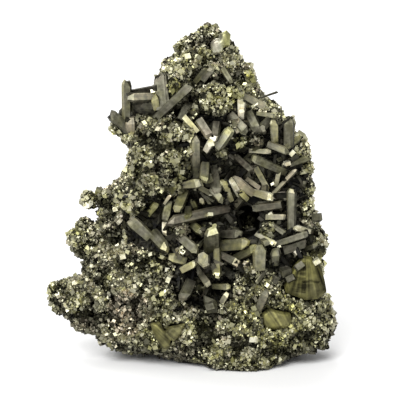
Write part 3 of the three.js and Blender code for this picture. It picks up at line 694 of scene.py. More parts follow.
@dataclass(frozen=True)
class BladeShape:
    """The sizes of one flat crystal, in metres: a broad face, two slanting edges and a cut end."""

    width: float
    thick: float
    roll: float = 0.0
    face_share: float = 0.66
    end_share: float = 0.55
    end_length: float = 0.36
    root_share: float = 0.95
    tip_share: float = 0.8
    slant: float = 0.3
    edge_through: float = -0.1
    longest_end: float = 0.35
    # Painted light and shade: the side towards the painted light is lighter, the other side darker,
    # the root end near black, and the blade darker towards its root.
    painted_side_light: tuple[float, float] = (1.3, 0.5)
    root_painted_shade: float = 0.1
    root_shade: float = 0.62

    def section(self) -> np.ndarray:
        """The six corners of its section, from -1 to 1 across and through."""
        near, edge = self.face_share, self.edge_through
        return np.array([(-1, edge), (-near, -1), (near, -1), (1, edge), (near, 1), (-near, 1)])

    def grown(
        self,
        root: np.ndarray,
        tip: np.ndarray,
        tone: float,
        end_tone: float,
        hue: float,
        shade: float,
    ) -> Shell:
        """Makes the crystal between two places.

        Args:
            root: where it grows from.
            tip: where it ends.
            tone: the tone of its broad face.
            end_tone: the tone of its end.
            hue: its hue.
            shade: how open it lies.

        Returns:
            The crystal.
        """
        axis = tip - root
        length = float(np.linalg.norm(axis))
        axis = axis / length
        towards = -VIEW.into()
        face = towards - axis * (towards @ axis)
        face /= max(np.linalg.norm(face), TINY)
        side = np.cross(axis, face)
        face, side = (
            face * math.cos(self.roll) + side * math.sin(self.roll),
            side * math.cos(self.roll) - face * math.sin(self.roll),
        )
        section = self.section()
        count = len(section)
        round_trip = np.linspace(0, 2 * (self.width + self.thick), count + 1)[:count]
        taper = min(length * self.longest_end, self.width * self.end_length)
        levels = (
            (0.0, self.root_share, 1.0),
            (length - taper, 1.0, 1.0),
            (length, self.tip_share, self.end_share),
        )
        points, flats = [], []
        for level, (reach, narrow, thin) in enumerate(levels):
            for n, (u, v) in enumerate(section):
                along = reach + (self.slant * u * self.width / 2 if level else 0.0)
                out = side * u * narrow * self.width / 2
                out = out + face * (v * thin + thin - 1) * self.thick / 2
                points.append(root + axis * along + out)
                flats.append((round_trip[n], along))
        # Painted light and shade on the sides, by how they face the painted light direction.
        lit, dim = self.painted_side_light if side @ PAINTED_LIGHT_DIRECTION > 0 else self.painted_side_light[::-1]
        shares = (PAINTED_BACK_SHADE, PAINTED_BACK_SHADE, PAINTED_BACK_SHADE, lit, 1.0, dim)
        brightness = np.clip([tone * share for share in shares], 0, 1)
        corners, tones = [], []
        for level in range(2):
            for n in range(count):
                a, b = level * count + n, level * count + (n + 1) % count
                corners += [[b, a, b + count], [b + count, a, a + count]]
                front_end = level == 1 and n == 4
                tones += [end_tone if front_end else brightness[n]] * 2
        last = 2 * count
        corners += [[last + n, last, last + n + 1] for n in range(1, count - 1)]
        corners += [[n + 1, 0, n] for n in range(1, count - 1)]
        tones += [end_tone] * (count - 2) + [self.root_painted_shade] * (count - 2)
        corners = np.array(corners)
        return Shell(
            np.array(points),
            corners,
            np.array(tones),
            np.full(len(corners), hue),
            shade * np.repeat([self.root_shade, 1.0, 1.0], count),
            np.array(flats)[corners],
        )


# Finishes


def linear(code: str) -> tuple[float, float, float, float]:
    """Turns an sRGB colour to the linear numbers that a shader takes.

    Args:
        code: the colour as six hex digits after a hash sign.

    Returns:
        Red, green, blue and a full alpha.
    """
    values = [int(code[n : n + 2], 16) / 255 for n in (1, 3, 5)]
    red, green, blue = (
        v / 12.92 if v <= 0.04045 else ((v + 0.055) / 1.055) ** 2.4 for v in values
    )
    return red, green, blue, 1.0


def add_node(tree: bpy.types.NodeTree, kind: str, settings: dict, links: dict) -> bpy.types.Node:
    """Adds a node with its settings and links.

    Args:
        tree: the tree that it goes into.
        kind: Blender's name for the node.
        settings: values by the name of a property or an input, or the stops of a ramp.
        links: outputs of other nodes by the name or number of the input that takes them.

    Returns:
        The node.
    """
    node = tree.nodes.new(kind)
    for name, value in settings.items():
        if name == "stops":
            ramp = node.color_ramp.elements
            while len(ramp) < len(value):
                ramp.new(0.5)
            for stop, (position, color) in zip(ramp, value):
                stop.position, stop.color = position, color
        elif isinstance(name, str) and hasattr(node, name):
            setattr(node, name, value)
        else:
            node.inputs[name].default_value = value
    for name, output in links.items():
        tree.links.new(output, node.inputs[name])
    return node


@dataclass(frozen=True)
class PyriteFinish:
    """Bare pyrite: a pale brass metal whose faces are painted from near black to cream, partly as
    painted light and shade.

    The stops run from the darkest tone to the palest; the darkest stand for painted shade and the
    palest for painted highlights, and each point's painted shade darkens the colour further. Growth
    lines run along each crystal and leave it a little lighter and darker in turn.
    """

    name: str
    stops: tuple[tuple[float, str], ...]
    roughness: float
    metallic: float = 1.0
    pinkish: str = "#fff3ec"
    neutral: str = "#fdfdf1"
    greenish: str = "#f2f2b4"
    neutral_at: float = 0.45
    patch_mm: float = 11.0
    patch_swing: float = 0.5
    line_mm: float = 0.9
    line_stretch: float = 0.06
    line_depth_mm: float = 0.03
    line_contrast: float = 0.12
    mottle_mm: float = 1.8
    mottle: float = 0.12
    grit_mm: float = 0.7
    grit_depth_mm: float = 0.02
    duller: tuple[float, float] = (-0.1, 0.12)
    shadow: float = 0.12

    def color(
        self, tree: bpy.types.NodeTree, place: bpy.types.Node, lines: bpy.types.Node
    ) -> bpy.types.NodeSocket:
        """Adds the nodes that give the colour.

        Args:
            tree: the material's tree.
            place: the node that gives coordinates.
            lines: the node that gives the growth lines.

        Returns:
            The colour.
        """
        tone, hue, shade = (
            add_node(tree, "ShaderNodeAttribute", {"attribute_name": label}, {})
            for label in ("tone", "hue", "shade")
        )
        mottle, patch = (
            add_node(
                tree,
                "ShaderNodeTexNoise",
                {"Scale": 1 / (size * MM), "Detail": detail},
                {"Vector": place.outputs["Object"]},
            )
            for size, detail in ((self.mottle_mm, 4.0), (self.patch_mm, 3.0))
        )
        swing, blot, shift = (
            add_node(
                tree,
                "ShaderNodeMapRange",
                {**NOISE_RANGE, "To Min": -full / 2, "To Max": full / 2},
                {"Value": noise.outputs["Fac"]},
            )
            for noise, full in (
                (lines, self.line_contrast),
                (mottle, self.mottle),
                (patch, self.patch_swing),
            )
        )
        add = {"operation": "ADD"}
        lined, leaning = (
            add_node(tree, "ShaderNodeMath", add, {0: own.outputs["Fac"], 1: by.outputs["Result"]})
            for own, by in ((tone, swing), (hue, shift))
        )
        ends = {0: lined.outputs["Value"], 1: blot.outputs["Result"]}
        uneven = add_node(tree, "ShaderNodeMath", add, ends)
        stops = [(position, linear(code)) for position, code in self.stops]
        tints = [
            (0.0, linear(self.pinkish)),
            (self.neutral_at, linear(self.neutral)),
            (1.0, linear(self.greenish)),
        ]
        own, tint = (
            add_node(tree, "ShaderNodeValToRGB", {"stops": colors}, {"Fac": by.outputs["Value"]})
            for colors, by in ((stops, uneven), (tints, leaning))
        )
        # Painted shade: the shade at each point darkens the colour, down to the shadow share.
        depth = add_node(
            tree,
            "ShaderNodeMapRange",
            {"To Min": self.shadow, "To Max": 1.0},
            {"Value": shade.outputs["Fac"]},
        )
        color = own.outputs["Color"]
        for factor in (tint.outputs["Color"], depth.outputs["Result"]):
            multiply = {"data_type": "RGBA", "blend_type": "MULTIPLY", 0: 1.0}
            mix = add_node(tree, "ShaderNodeMix", multiply, {6: color, 7: factor})
            color = mix.outputs[2]
        return color

    def build(self) -> bpy.types.Material:
        """Makes the material.

        Returns:
            The material.
        """
        material = bpy.data.materials.new(self.name)
        material.use_nodes = True
        tree = material.node_tree
        tree.nodes.clear()
        place = add_node(tree, "ShaderNodeTexCoord", {}, {})
        across = 1 / (self.line_mm * MM)
        stretch = add_node(
            tree,
            "ShaderNodeMapping",
            {"Scale": (across, across * self.line_stretch, 1.0)},
            {"Vector": place.outputs["UV"]},
        )
        lines = add_node(
            tree,
            "ShaderNodeTexNoise",
            {"Scale": 1.0, "Detail": 2.0},
            {"Vector": stretch.outputs["Vector"]},
        )
        grit = add_node(
            tree,
            "ShaderNodeTexNoise",
            {"Scale": 1 / (self.grit_mm * MM), "Detail": 3.0},
            {"Vector": place.outputs["Object"]},
        )
        lined = add_node(
            tree,
            "ShaderNodeBump",
            {"Distance": self.line_depth_mm * MM},
            {"Height": lines.outputs["Fac"]},
        )
        pitted = add_node(
            tree,
            "ShaderNodeBump",
            {"Distance": self.grit_depth_mm * MM},
            {"Height": grit.outputs["Fac"], "Normal": lined.outputs["Normal"]},
        )
        dull = add_node(
            tree,
            "ShaderNodeMapRange",
            {
                "To Min": self.roughness + self.duller[0],
                "To Max": self.roughness + self.duller[1],
            },
            {"Value": grit.outputs["Fac"]},
        )
        shader = add_node(
            tree,
            "ShaderNodeBsdfPrincipled",
            {"Metallic": self.metallic},
            {
                "Base Color": self.color(tree, place, lines),
                "Roughness": dull.outputs["Result"],
                "Normal": pitted.outputs["Normal"],
            },
        )
        add_node(tree, "ShaderNodeOutputMaterial", {}, {"Surface": shader.outputs["BSDF"]})
        return material


# Fine druse: crystals of about 0.8 mm, nearly all under 1.5 mm, each with a tone of its own; the
# palest few are painted glints and the darkest few painted shade.
DRUSE = PyriteFinish(
    name="druse_pyrite",
    stops=(
        (0.0, "#13120e"),
        (0.3, "#656458"),
        (0.6, "#a8a694"),
        (0.85, "#cac7b3"),
        (1.0, "#fffdf0"),
    ),
    roughness=0.42,
)
# Bladed crystals: grey bronze with a satin film of tarnish, and growth lines along them. The
# darkest stops serve as painted shade and the palest as painted highlights.
BLADED = PyriteFinish(
    name="bladed_pyrite",
    stops=(
        (0.0, "#050504"),
        (0.3, "#555349"),
        (0.5, "#868478"),
        (0.75, "#bdb79d"),
        (1.0, "#fffdf0"),
    ),
    roughness=0.5,
    metallic=0.8,
    patch_mm=5.0,
    mottle=0.2,
    line_contrast=0.16,
    line_depth_mm=0.05,
)
# Smooth brassy crystals: olive with a dull gloss and fans of growth lines.
BRASSY = PyriteFinish(
    name="brassy_pyrite",
    stops=((0.0, "#1f1d10"), (0.35, "#63604a"), (0.7, "#908c68"), (1.0, "#d2cd9c")),
    roughness=0.58,
    metallic=0.85,
    line_depth_mm=0.08,
    line_contrast=0.25,
    mottle_mm=3.0,
    mottle=0.3,
)
# Clean grey crystal faces under the summit.
PALE = PyriteFinish(
    name="pale_pyrite",
    stops=((0.0, "#4c4b40"), (0.5, "#a3a295"), (1.0, "#e8e6d8")),
    roughness=0.4,
    metallic=0.9,
)


@dataclass(frozen=True)
class FloorFinish:
    """White painted board: matt, so that it holds only soft shadows."""

    color: str = "#f6f6f6"
    roughness: float = 0.9
    grain_mm: float = 3.0
    grain_depth_mm: float = 0.1
    grain_strength: float = 0.05

    def build(self) -> bpy.types.Material:
        """Makes the material.

        Returns:
            The material.
        """
        material = bpy.data.materials.new("floor_board")
        material.use_nodes = True
        tree = material.node_tree
        tree.nodes.clear()
        place = add_node(tree, "ShaderNodeTexCoord", {}, {})
        grain = add_node(
            tree,
            "ShaderNodeTexNoise",
            {"Scale": 1 / (self.grain_mm * MM)},
            {"Vector": place.outputs["Object"]},
        )
        bump = add_node(
            tree,
            "ShaderNodeBump",
            {"Strength": self.grain_strength, "Distance": self.grain_depth_mm * MM},
            {"Height": grain.outputs["Fac"]},
        )
        shader = add_node(
            tree,
            "ShaderNodeBsdfPrincipled",
            {"Base Color": linear(self.color), "Roughness": self.roughness},
            {"Normal": bump.outputs["Normal"]},
        )
        add_node(tree, "ShaderNodeOutputMaterial", {}, {"Surface": shader.outputs["BSDF"]})
        return material


# Sub-assemblies


@dataclass(frozen=True)
class Druse:
    """How small crystals cover a surface."""

    spacing: float = 0.82 * MM
    half: float = 0.39 * MM
    largest: float = 0.95 * MM
    spread: float = 0.34
    uneven: float = 0.25
    cubes: float = 0.5
    tone: tuple[float, float] = (0.71, 0.13)
    tone_range: tuple[float, float] = (0.05, 0.88)
    # Painted light: a share of the grains get the palest tones as painted glints, and a share the
    # darkest as painted shade.
    painted_glint_share: float = 0.04
    painted_glint: tuple[float, float] = (0.9, 1.0)
    painted_dark_share: float = 0.12
    painted_dark: tuple[float, float] = (0.0, 0.12)
    rise: float = 0.15
    lean: tuple[float, float] = (0.1, 0.9)
    hue_spread: float = 0.14

    def swarm(
        self,
        places: np.ndarray,
        facing: np.ndarray,
        shades: np.ndarray,
        hue: float,
        rng: np.random.Generator,
    ) -> Swarm:
        """Gives every place its crystal.

        Args:
            places: the places.
            facing: the way that the surface faces at each.
            shades: how open each lies.
            hue: the middle of their hues.
            rng: the source of chance.

        Returns:
            The crystals.
        """
        count = len(places)
        sizes = np.minimum(self.half * np.exp(rng.normal(0, self.spread, count)), self.largest)
        tones = np.clip(rng.normal(*self.tone, count), *self.tone_range)
        for share, bounds in ((self.painted_glint_share, self.painted_glint), (self.painted_dark_share, self.painted_dark)):
            tones = np.where(rng.random(count) < share, rng.uniform(*bounds, count), tones)
        stretch = np.exp(rng.normal(0, self.uneven, (count, 3)))
        return Swarm(
            places + facing * (sizes * self.rise)[:, None],
            turned(facing, rng.uniform(*self.lean, count), rng),
            sizes[:, None] * stretch,
            tones,
            np.clip(rng.normal(hue, self.hue_spread, count), 0, 1),
            shades,
        )

    def grown(self, swarm: Swarm, rng: np.random.Generator) -> list[Shell]:
        """Makes the crystals in their two forms.

        Args:
            swarm: the crystals.
            rng: the source of chance.

        Returns:
            The crystals that are cubes, and the rest.
        """
        cubes = rng.random(len(swarm.middles)) < self.cubes
        return [
            swarm.part(cubes).grown(Habit.CUBE_ON_CORNER),
            swarm.part(~cubes).grown(Habit.OCTAHEDRON),
        ]


@dataclass
class DruseMatrix:
    """The mass: a lumpy body that is crusted with small crystals.

    Its round lumps have furrows between them and a moat round each placed one. Ripples make their
    outlines uneven, and a collar of druse rises to the feet of the smooth crystals. The furrows,
    moats and undersides get painted shade, and the body under the grains is painted dark as painted
    shade between them.
    """

    voxel: float = 0.95 * MM
    softenings: int = 4
    lump_spacing: float = 6.0 * MM
    lump_rise: float = 0.8 * MM
    lump_sink: float = 1.9 * MM
    lump_radii: tuple[float, float] = (0.42, 0.78)
    lump_heights: tuple[float, float] = (0.45, 1.0)
    placed_height: float = 1.25
    apart_share: float = 0.4
    base_height: float = 0.6 * MM
    foot_height: float = 2 * MM
    overhang: float = -0.6
    fade_from: float = 1.0 * MM
    fade_over: float = 4 * MM
    cover: float = 1.2 * MM
    cover_from_mm: float = 0.5
    parting: float = -4.0 * MM
    collar: float = 3.5 * MM
    collar_height: float = 0.62
    collar_wide: float = 1.6
    ripple: float = 0.85 * MM
    ripple_length: float = 1.5 * MM
    ripple_phases: tuple[float, float, float] = (0.0, 1.3, 2.9)
    small_ripple: float = 0.6
    small_ripple_share: float = 0.55
    small_ripple_phases: tuple[float, float, float] = (0.7, 2.1, 0.2)
    moat_depth: float = 0.75
    moat_at: float = 1.12
    moat_wide: float = 0.18
    side_reach_mm: float = 11.0
    # The body is painted dark so that painted shade shows between the grains; furrows and
    # undersides get painted shade.
    body_shadow_tone: float = 0.16
    furrow_shade: float = 0.06
    furrow_slope: float = 2.2
    underside_slope: float = 1.1
    underside_shade: float = 0.25
    open_reach: float = 14 * MM
    open_rays: int = 8
    gap_wide: float = 1.4
    quick_spacing: float = 2.0
    points_at_once: int = 4000
    seed: int = 11
    druse: Druse = Druse()

    def widened(self, shell: Shell) -> Shell:
        """Moves the two sides of the body to where the real ones lie.

        Args:
            shell: the body.

        Returns:
            The body with its sides in place.
        """
        seen = VIEW.seen(shell.points)
        rows = np.array(SIDE_SHIFTS)
        levels = np.clip(np.round(seen[:, 1]).astype(int), 0, int(rows[-1, 0]))
        left, right = np.full(levels.max() + 1, np.inf), np.full(levels.max() + 1, -np.inf)
        np.minimum.at(left, levels, seen[:, 0])
        np.maximum.at(right, levels, seen[:, 0])
        for edge, column in ((left, 1), (right, 2)):
            near = np.clip(1 - np.abs(seen[:, 0] - edge[levels]) / self.side_reach_mm, 0, 1)
            shift = np.interp(seen[:, 1], rows[:, 0], rows[:, column])
            shell.points[:, 0] += shift * near * (2 - near) * MM
        return shell

    def lumped(
        self, shell: Shell, around: BVHTree, smooth: BVHTree, rng: np.random.Generator
    ) -> Shell:
        """Raises round lumps on the body, with furrows between them that get painted shade.

        Args:
            shell: the body.
            around: everything in view.
            smooth: the smooth crystals, whose feet stay covered.
            rng: the source of chance.

        Returns:
            The body with its lumps.
        """
        point_normals = shell.point_normals()
        centres, _, _ = scattered(shell, np.ones(len(shell.corners), bool), self.lump_spacing, rng)
        radii = self.lump_spacing * rng.uniform(*self.lump_radii, len(centres))
        placed_centres = np.array([VIEW.hit(around, row[0], row[1]) for row in DRUSE_BALLS])
        placed_radii = np.array([row[2] * MM for row in DRUSE_BALLS])
        apart = np.linalg.norm(centres[:, None] - placed_centres[None], axis=2) - placed_radii[None]
        free = (apart > self.apart_share * radii[:, None]).all(axis=1)
        centres = np.concatenate([centres[free], placed_centres])
        radii = np.concatenate([radii[free], placed_radii])
        chance_heights = rng.uniform(*self.lump_heights, int(free.sum()))
        placed_heights = np.full(len(placed_radii), self.placed_height)
        heights = np.concatenate([chance_heights, placed_heights])
        rise = np.zeros(len(shell.points))
        long, short = self.ripple_length, self.small_ripple_share * self.ripple_length
        waves = np.sin(shell.points[:, [1, 2, 0]] / long + self.ripple_phases)
        small = np.sin(shell.points[:, [2, 0, 1]] / short + self.small_ripple_phases)
        waves += self.small_ripple * small
        uneven = shell.points + self.ripple * waves
        for start in range(0, len(shell.points), self.points_at_once):
            rows = slice(start, start + self.points_at_once)
            part = uneven[rows]
            distance = np.linalg.norm(part[:, None, :] - centres[None, :, :], axis=2)
            bump = heights * np.sqrt(np.maximum(1 - (distance / radii) ** 2, 0))
            rise[rows] = bump.max(axis=1)
            ring = np.linalg.norm(part[:, None, :] - placed_centres[None, :, :], axis=2)
            ring = ring / placed_radii
            moat = np.clip(1 - np.abs(ring - self.moat_at) / self.moat_wide, 0, 1).max(axis=1)
            rise[rows] *= 1 - self.moat_depth * moat
        fade = np.clip((shell.points[:, 2] - self.fade_from) / self.fade_over, 0, 1)
        off = np.array([smooth.find_nearest(Vector(point))[3] for point in shell.points])
        collar = self.collar_height * np.clip(self.collar_wide - off / self.collar, 0, 1)
        rise = np.maximum(rise, collar)
        move = (rise * (self.lump_rise + self.lump_sink) - self.lump_sink) * fade
        shell.points = shell.points + point_normals * move[:, None]
        shell.points[:, 2] = np.maximum(shell.points[:, 2], 0)
        # Painted shade: dark in the furrows and moats and on the undersides.
        shell.shades = np.clip(self.furrow_shade + self.furrow_slope * rise, 0, 1)
        under = 1 + self.underside_slope * point_normals[:, 2]
        shell.shades *= np.clip(under, self.underside_shade, 1)
        shell.tones[:] = self.body_shadow_tone
        return shell

    def hues(self, places: np.ndarray) -> np.ndarray:
        """Gives the hue of the druse, which changes over the front.

        Args:
            places: the places.

        Returns:
            A hue for each.
        """
        seen = VIEW.seen(places)
        hues = np.full(len(places), 0.5)
        for across, up, radius, hue in DRUSE_BALLS + HUE_SPOTS:
            near = np.linalg.norm(seen - [across, up], axis=1) < radius
            hues[near & (places[:, 1] < 0)] = hue
        return hues

    def grains(self, shell: Shell, around: BVHTree, rng: np.random.Generator) -> list[Shell]:
        """Scatters the small crystals of the druse.

        Args:
            shell: the body that they grow on.
            around: the crystals that stand on the mass, which the grains leave free.
            rng: the source of chance.

        Returns:
            The grains of each form.
        """
        normals, _ = shell.normals()
        heights = shell.points[shell.corners].mean(axis=1)[:, 2]
        foot = (heights < self.foot_height) & (normals[:, 2] < self.overhang)
        keep = (heights > self.base_height) & ~foot
        spacing = self.druse.spacing * 1.0
        places, facing, furrows = scattered(shell, keep, spacing, rng)
        starts = places - facing * self.cover_from_mm * MM
        free = np.array([
            around.ray_cast(Vector(start), Vector(way), self.cover)[0] is None
            for start, way in zip(starts, facing)
        ])
        places, facing, furrows = places[free], facing[free], furrows[free]
        # Painted shade: grains get darker the less open they lie, and those in the gap that face
        # the viewer are painted black as shadow.
        open_sky = openness(places, facing, shell.tree(), self.open_reach, self.open_rays)
        across, up, wide, high = SHADOW_GAP
        off = (VIEW.seen(places) - [across, up]) / [wide, high]
        in_gap = (off**2).sum(axis=1) < self.gap_wide
        open_sky[in_gap & (facing @ -VIEW.into() > 0)] = 0
        swarm = self.druse.swarm(places, facing, open_sky * furrows, 0.5, rng)
        swarm.hues = np.clip(swarm.hues + self.hues(places) - 0.5, 0, 1)
        left = swarm.middles[:, 0] < self.parting
        return self.druse.grown(swarm.part(left), rng) + self.druse.grown(swarm.part(~left), rng)

    def build(
        self, standing: BVHTree, smooth: BVHTree, around: BVHTree, finish: bpy.types.Material
    ) -> list[bpy.types.Object]:
        """Makes the pieces of the mass.

        Args:
            standing: the crystals that stand on the mass.
            smooth: the smooth ones among them.
            around: everything in view.
            finish: the finish of the druse.

        Returns:
            The pieces.
        """
        rng = np.random.default_rng(self.seed)
        source = Shell.fine(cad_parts["druse_matrix"], self.voxel, self.softenings)
        shell = self.widened(self.lumped(source, around, smooth, rng))
        body = shell.to_object("druse_body", finish)
        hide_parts("druse_matrix")
        pieces = [body]
        for n, grains in enumerate(self.grains(shell, standing, rng)):
            piece = grains.to_object(f"druse_grains_{n + 1}", finish)
            pieces.append(piece)
        return pieces


# Triangles share a flat face where their directions and planes agree to these steps, and each face
# takes its own piece of the growth lines, up to this far off, in metres.
NORMAL_STEPS = 60
PLANE_STEP = 0.15 * MM
FLAT_SHIFT = 0.1


def coplanar_flats(shell: Shell, rng: np.random.Generator) -> tuple[np.ndarray, np.ndarray]:
    """Lays flat coordinates on each flat face, with its growth lines along its longest edge.

    Args:
        shell: the crystal.
        rng: the source of chance.

    Returns:
        The flat coordinates of every corner, and a number that is the same all over a flat face.
    """
    normals, _ = shell.normals()
    triangles = shell.points[shell.corners]
    offsets = np.einsum("ij,ij->i", normals, triangles[:, 0])
    planes = np.round(offsets / PLANE_STEP)
    keys = np.concatenate([np.round(normals * NORMAL_STEPS), planes[:, None]], axis=1)
    _, groups = np.unique(keys.astype(int), axis=0, return_inverse=True)
    groups = groups.ravel()
    edges = np.stack([triangles[:, (n + 1) % 3] - triangles[:, n] for n in range(3)], axis=1)
    lengths = np.linalg.norm(edges, axis=2)
    longest = lengths.argmax(axis=1)
    best = edges[np.arange(len(edges)), longest]
    order = np.lexsort((lengths.max(axis=1), groups))
    last = np.r_[np.nonzero(np.diff(groups[order]))[0], len(order) - 1]
    axes = np.zeros((groups.max() + 1, 3))
    axes[groups[order[last]]] = best[order[last]]
    axis = axes[groups]
    axis /= np.maximum(np.linalg.norm(axis, axis=1), TINY_LENGTH)[:, None]
    side = np.cross(normals, axis)
    start = rng.random((groups.max() + 1, 2))[groups] * FLAT_SHIFT
    flats = np.stack(
        [
            np.einsum("ijk,ik->ij", triangles, side) + start[:, :1],
            np.einsum("ijk,ik->ij", triangles, axis) + start[:, 1:],
        ],
        axis=2,
    )
    return flats, rng.random(groups.max() + 1)[groups]


@dataclass
class NamedBlades:
    """Crystals whose places are known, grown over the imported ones."""

    proud: float = 1.0 * MM
    wider: float = 0.3 * MM
    thick_share: float = 0.55
    probes: tuple[float, ...] = (0.08, 0.22, 0.36, 0.5, 0.64, 0.78, 0.92)
    steepest: float = 0.9
    forward: float = 0.3
    roll: tuple[float, float] = (-0.25, 0.25)
    face_share: tuple[float, float] = (0.6, 0.88)
    end_share: tuple[float, float] = (0.3, 0.75)
    end_length: tuple[float, float] = (0.25, 0.6)
    root_share: tuple[float, float] = (0.7, 1.1)
    tip_share: tuple[float, float] = (0.35, 0.95)
    slant: tuple[float, float] = (-0.5, 0.5)
    hue: tuple[float, float] = (0.54, 0.15)

    def fitted(self, tree: BVHTree, row: tuple[float, ...]) -> tuple[np.ndarray, np.ndarray]:
        """Lays a line on the surface that the viewer sees along a crystal.

        Args:
            tree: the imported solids.
            row: the crystal's row in its table.

        Returns:
            The root and the tip, in metres.
        """
        root_at, tip_at = np.array(row[0:2]), np.array(row[2:4])
        shares, depths = [], []
        for share in self.probes:
            place = VIEW.hit(tree, *(root_at + share * (tip_at - root_at)))
            if place is not None:
                shares.append(share)
                depths.append(float(place @ VIEW.into()))
        shares, depths = np.array(shares), np.array(depths)
        first, second = np.triu_indices(len(shares), 1)
        length = np.linalg.norm(tip_at - root_at) * MM
        slopes = (depths[second] - depths[first]) / (shares[second] - shares[first])
        slope = float(np.median(slopes))
        slope = max(-self.steepest * length, min(self.steepest * length, slope))
        middle = float(np.quantile(depths - slope * shares, self.forward))
        ends = []
        for (across, up), share in ((root_at, 0.0), (tip_at, 1.0)):
            start = VIEW.point(across, up, 0.0)
            ends.append(start + VIEW.into() * (middle + slope * share - float(start @ VIEW.into())))
        return ends[0], ends[1]

    def grown(self, tree: BVHTree, rows: tuple, rng: np.random.Generator) -> Shell:
        """Grows the crystals of a table.

        Args:
            tree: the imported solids.
            rows: the table.
            rng: the source of chance.

        Returns:
            The crystals.
        """
        made = []
        for row in rows:
            root, tip = self.fitted(tree, row)
            width = row[4] * MM + self.wider
            thick = width * self.thick_share
            sink = VIEW.into() * (thick / 2 - self.proud)
            shape = BladeShape(
                width=width,
                thick=thick,
                roll=rng.uniform(*self.roll),
                face_share=rng.uniform(*self.face_share),
                end_share=rng.uniform(*self.end_share),
                end_length=rng.uniform(*self.end_length),
                root_share=rng.uniform(*self.root_share),
                tip_share=rng.uniform(*self.tip_share),
                slant=rng.uniform(*self.slant),
            )
            hue = float(np.clip(rng.normal(*self.hue), 0, 1))
            made.append(shape.grown(root + sink, tip + sink, row[5], row[6], hue, 1.0))
        return Shell.joined(made)


@dataclass(frozen=True)
class RoundCluster:
    """How small crystals grow into a round cluster with a few lumps."""

    level_mm: float = 3.0
    sink_over_mm: float = 6.0
    sink_range: tuple[float, float] = (-0.1, 0.5)
    crowding: int = 26
    lumps: int = 7
    swell: float = 0.16
    lump_slope: float = 4
    inner: float = 0.9
    furrow_shade: float = 0.65
    lump_shade: float = 3.2
    shut_shade: float = 0.2
    open_shade: float = 0.8
    open_reach: float = 8 * MM
    open_rays: int = 8
    # The core is a dark cube inside the cluster, a painted shadow that shows between its grains.
    core: float = 0.7
    core_shadow_tone: float = 0.1
    core_hue: float = 0.5
    core_shade: float = 0.3

    def grown(
        self, tree: BVHTree, row: tuple[float, ...], druse: Druse, rng: np.random.Generator
    ) -> list[Shell]:
        """Grows a cluster on the surface that the viewer sees.

        Args:
            tree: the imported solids.
            row: the cluster's row in its table.
            druse: how its crystals cover it.
            rng: the source of chance.

        Returns:
            Its grains and its core, or nothing where the viewer sees past the specimen.
        """
        across, up, radius, hue = row
        least, most = self.sink_range
        sink = min(max((radius - self.level_mm) / self.sink_over_mm, least), most)
        front = VIEW.hit(tree, across, up)
        if front is None:
            LOG.warning("no surface for the cluster at %s, %s", across, up)
            return []
        middle = front + VIEW.into() * radius * sink * MM
        ways = rng.normal(size=(int(self.crowding * radius**2), 3))
        ways /= np.linalg.norm(ways, axis=1)[:, None]
        near = (ways @ ways[: self.lumps].T).max(axis=1)
        swell = 1 + self.swell * np.clip(near * self.lump_slope - (self.lump_slope - 1), 0, 1)
        places = middle + ways * (radius * MM * self.inner * swell)[:, None]
        shades = np.clip(self.furrow_shade + self.lump_shade * (swell - 1), 0, 1)
        open_sky = openness(places, ways, tree, self.open_reach, self.open_rays)
        shades *= self.shut_shade + self.open_shade * open_sky
        core = Swarm(
            middle[None],
            np.eye(3)[None],
            np.full((1, 3), radius * MM * self.core),
            np.array([self.core_shadow_tone]),
            np.array([self.core_hue]),
            np.array([self.core_shade]),
        )
        grains = druse.grown(druse.swarm(places, ways, shades, hue, rng), rng)
        return grains + [core.grown(Habit.CUBE_ON_CORNER)]


@dataclass(frozen=True)
class SingleCrystal:
    """A clean crystal that stands out: its shares of a half width, its lean and its painted light.
    """

    shares: tuple[float, float, float] = (0.8, 0.56, 0.8)
    lean: float = 0.35
    lean_steps: tuple[float, float] = (5, 3)
    out_mm: float = 0.5
    hue: float = 0.45
    painted_side_share: float = 0.28
    painted_brightening: float = 1.15

    def grown(self, tree: BVHTree, row: tuple[float, ...]) -> Shell:
        """Grows the crystal on the surface that the viewer sees.

        Args:
            tree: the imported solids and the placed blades.
            row: the crystal's row in its table.

        Returns:
            The crystal.
        """
        across, up, half, angle, tone = row
        place = VIEW.hit(tree, across, up)
        turn = math.radians(angle)
        level = np.array([1.0, 0.0, 0.0])
        first, second = self.lean_steps
        lean = np.array([math.sin(first * turn + across), 0.0, math.cos(second * turn + up)])
        back = -VIEW.into() + lean * self.lean
        back /= np.linalg.norm(back)
        side = level * math.cos(turn) + np.cross(back, level) * math.sin(turn)
        side -= back * (side @ back)
        side /= np.linalg.norm(side)
        swarm = Swarm(
            (place + back * self.out_mm * MM)[None],
            np.stack([side, np.cross(back, side), back], axis=1)[None],
            np.array([[half * share for share in self.shares]]) * MM,
            np.array([tone]),
            np.array([self.hue]),
            np.ones(1),
        )
        crystal = swarm.grown(Habit.CUBE)
        normals, _ = crystal.normals()
        # Painted light: faces towards the painted light direction are lighter, and all are
        # brightened as painted highlights.
        lit = np.clip(normals @ PAINTED_LIGHT_DIRECTION, -1, 1)
        crystal.tones *= 1 - self.painted_side_share + self.painted_side_share * lit
        crystal.tones = np.minimum(crystal.tones * self.painted_brightening, 1.0)
        return crystal


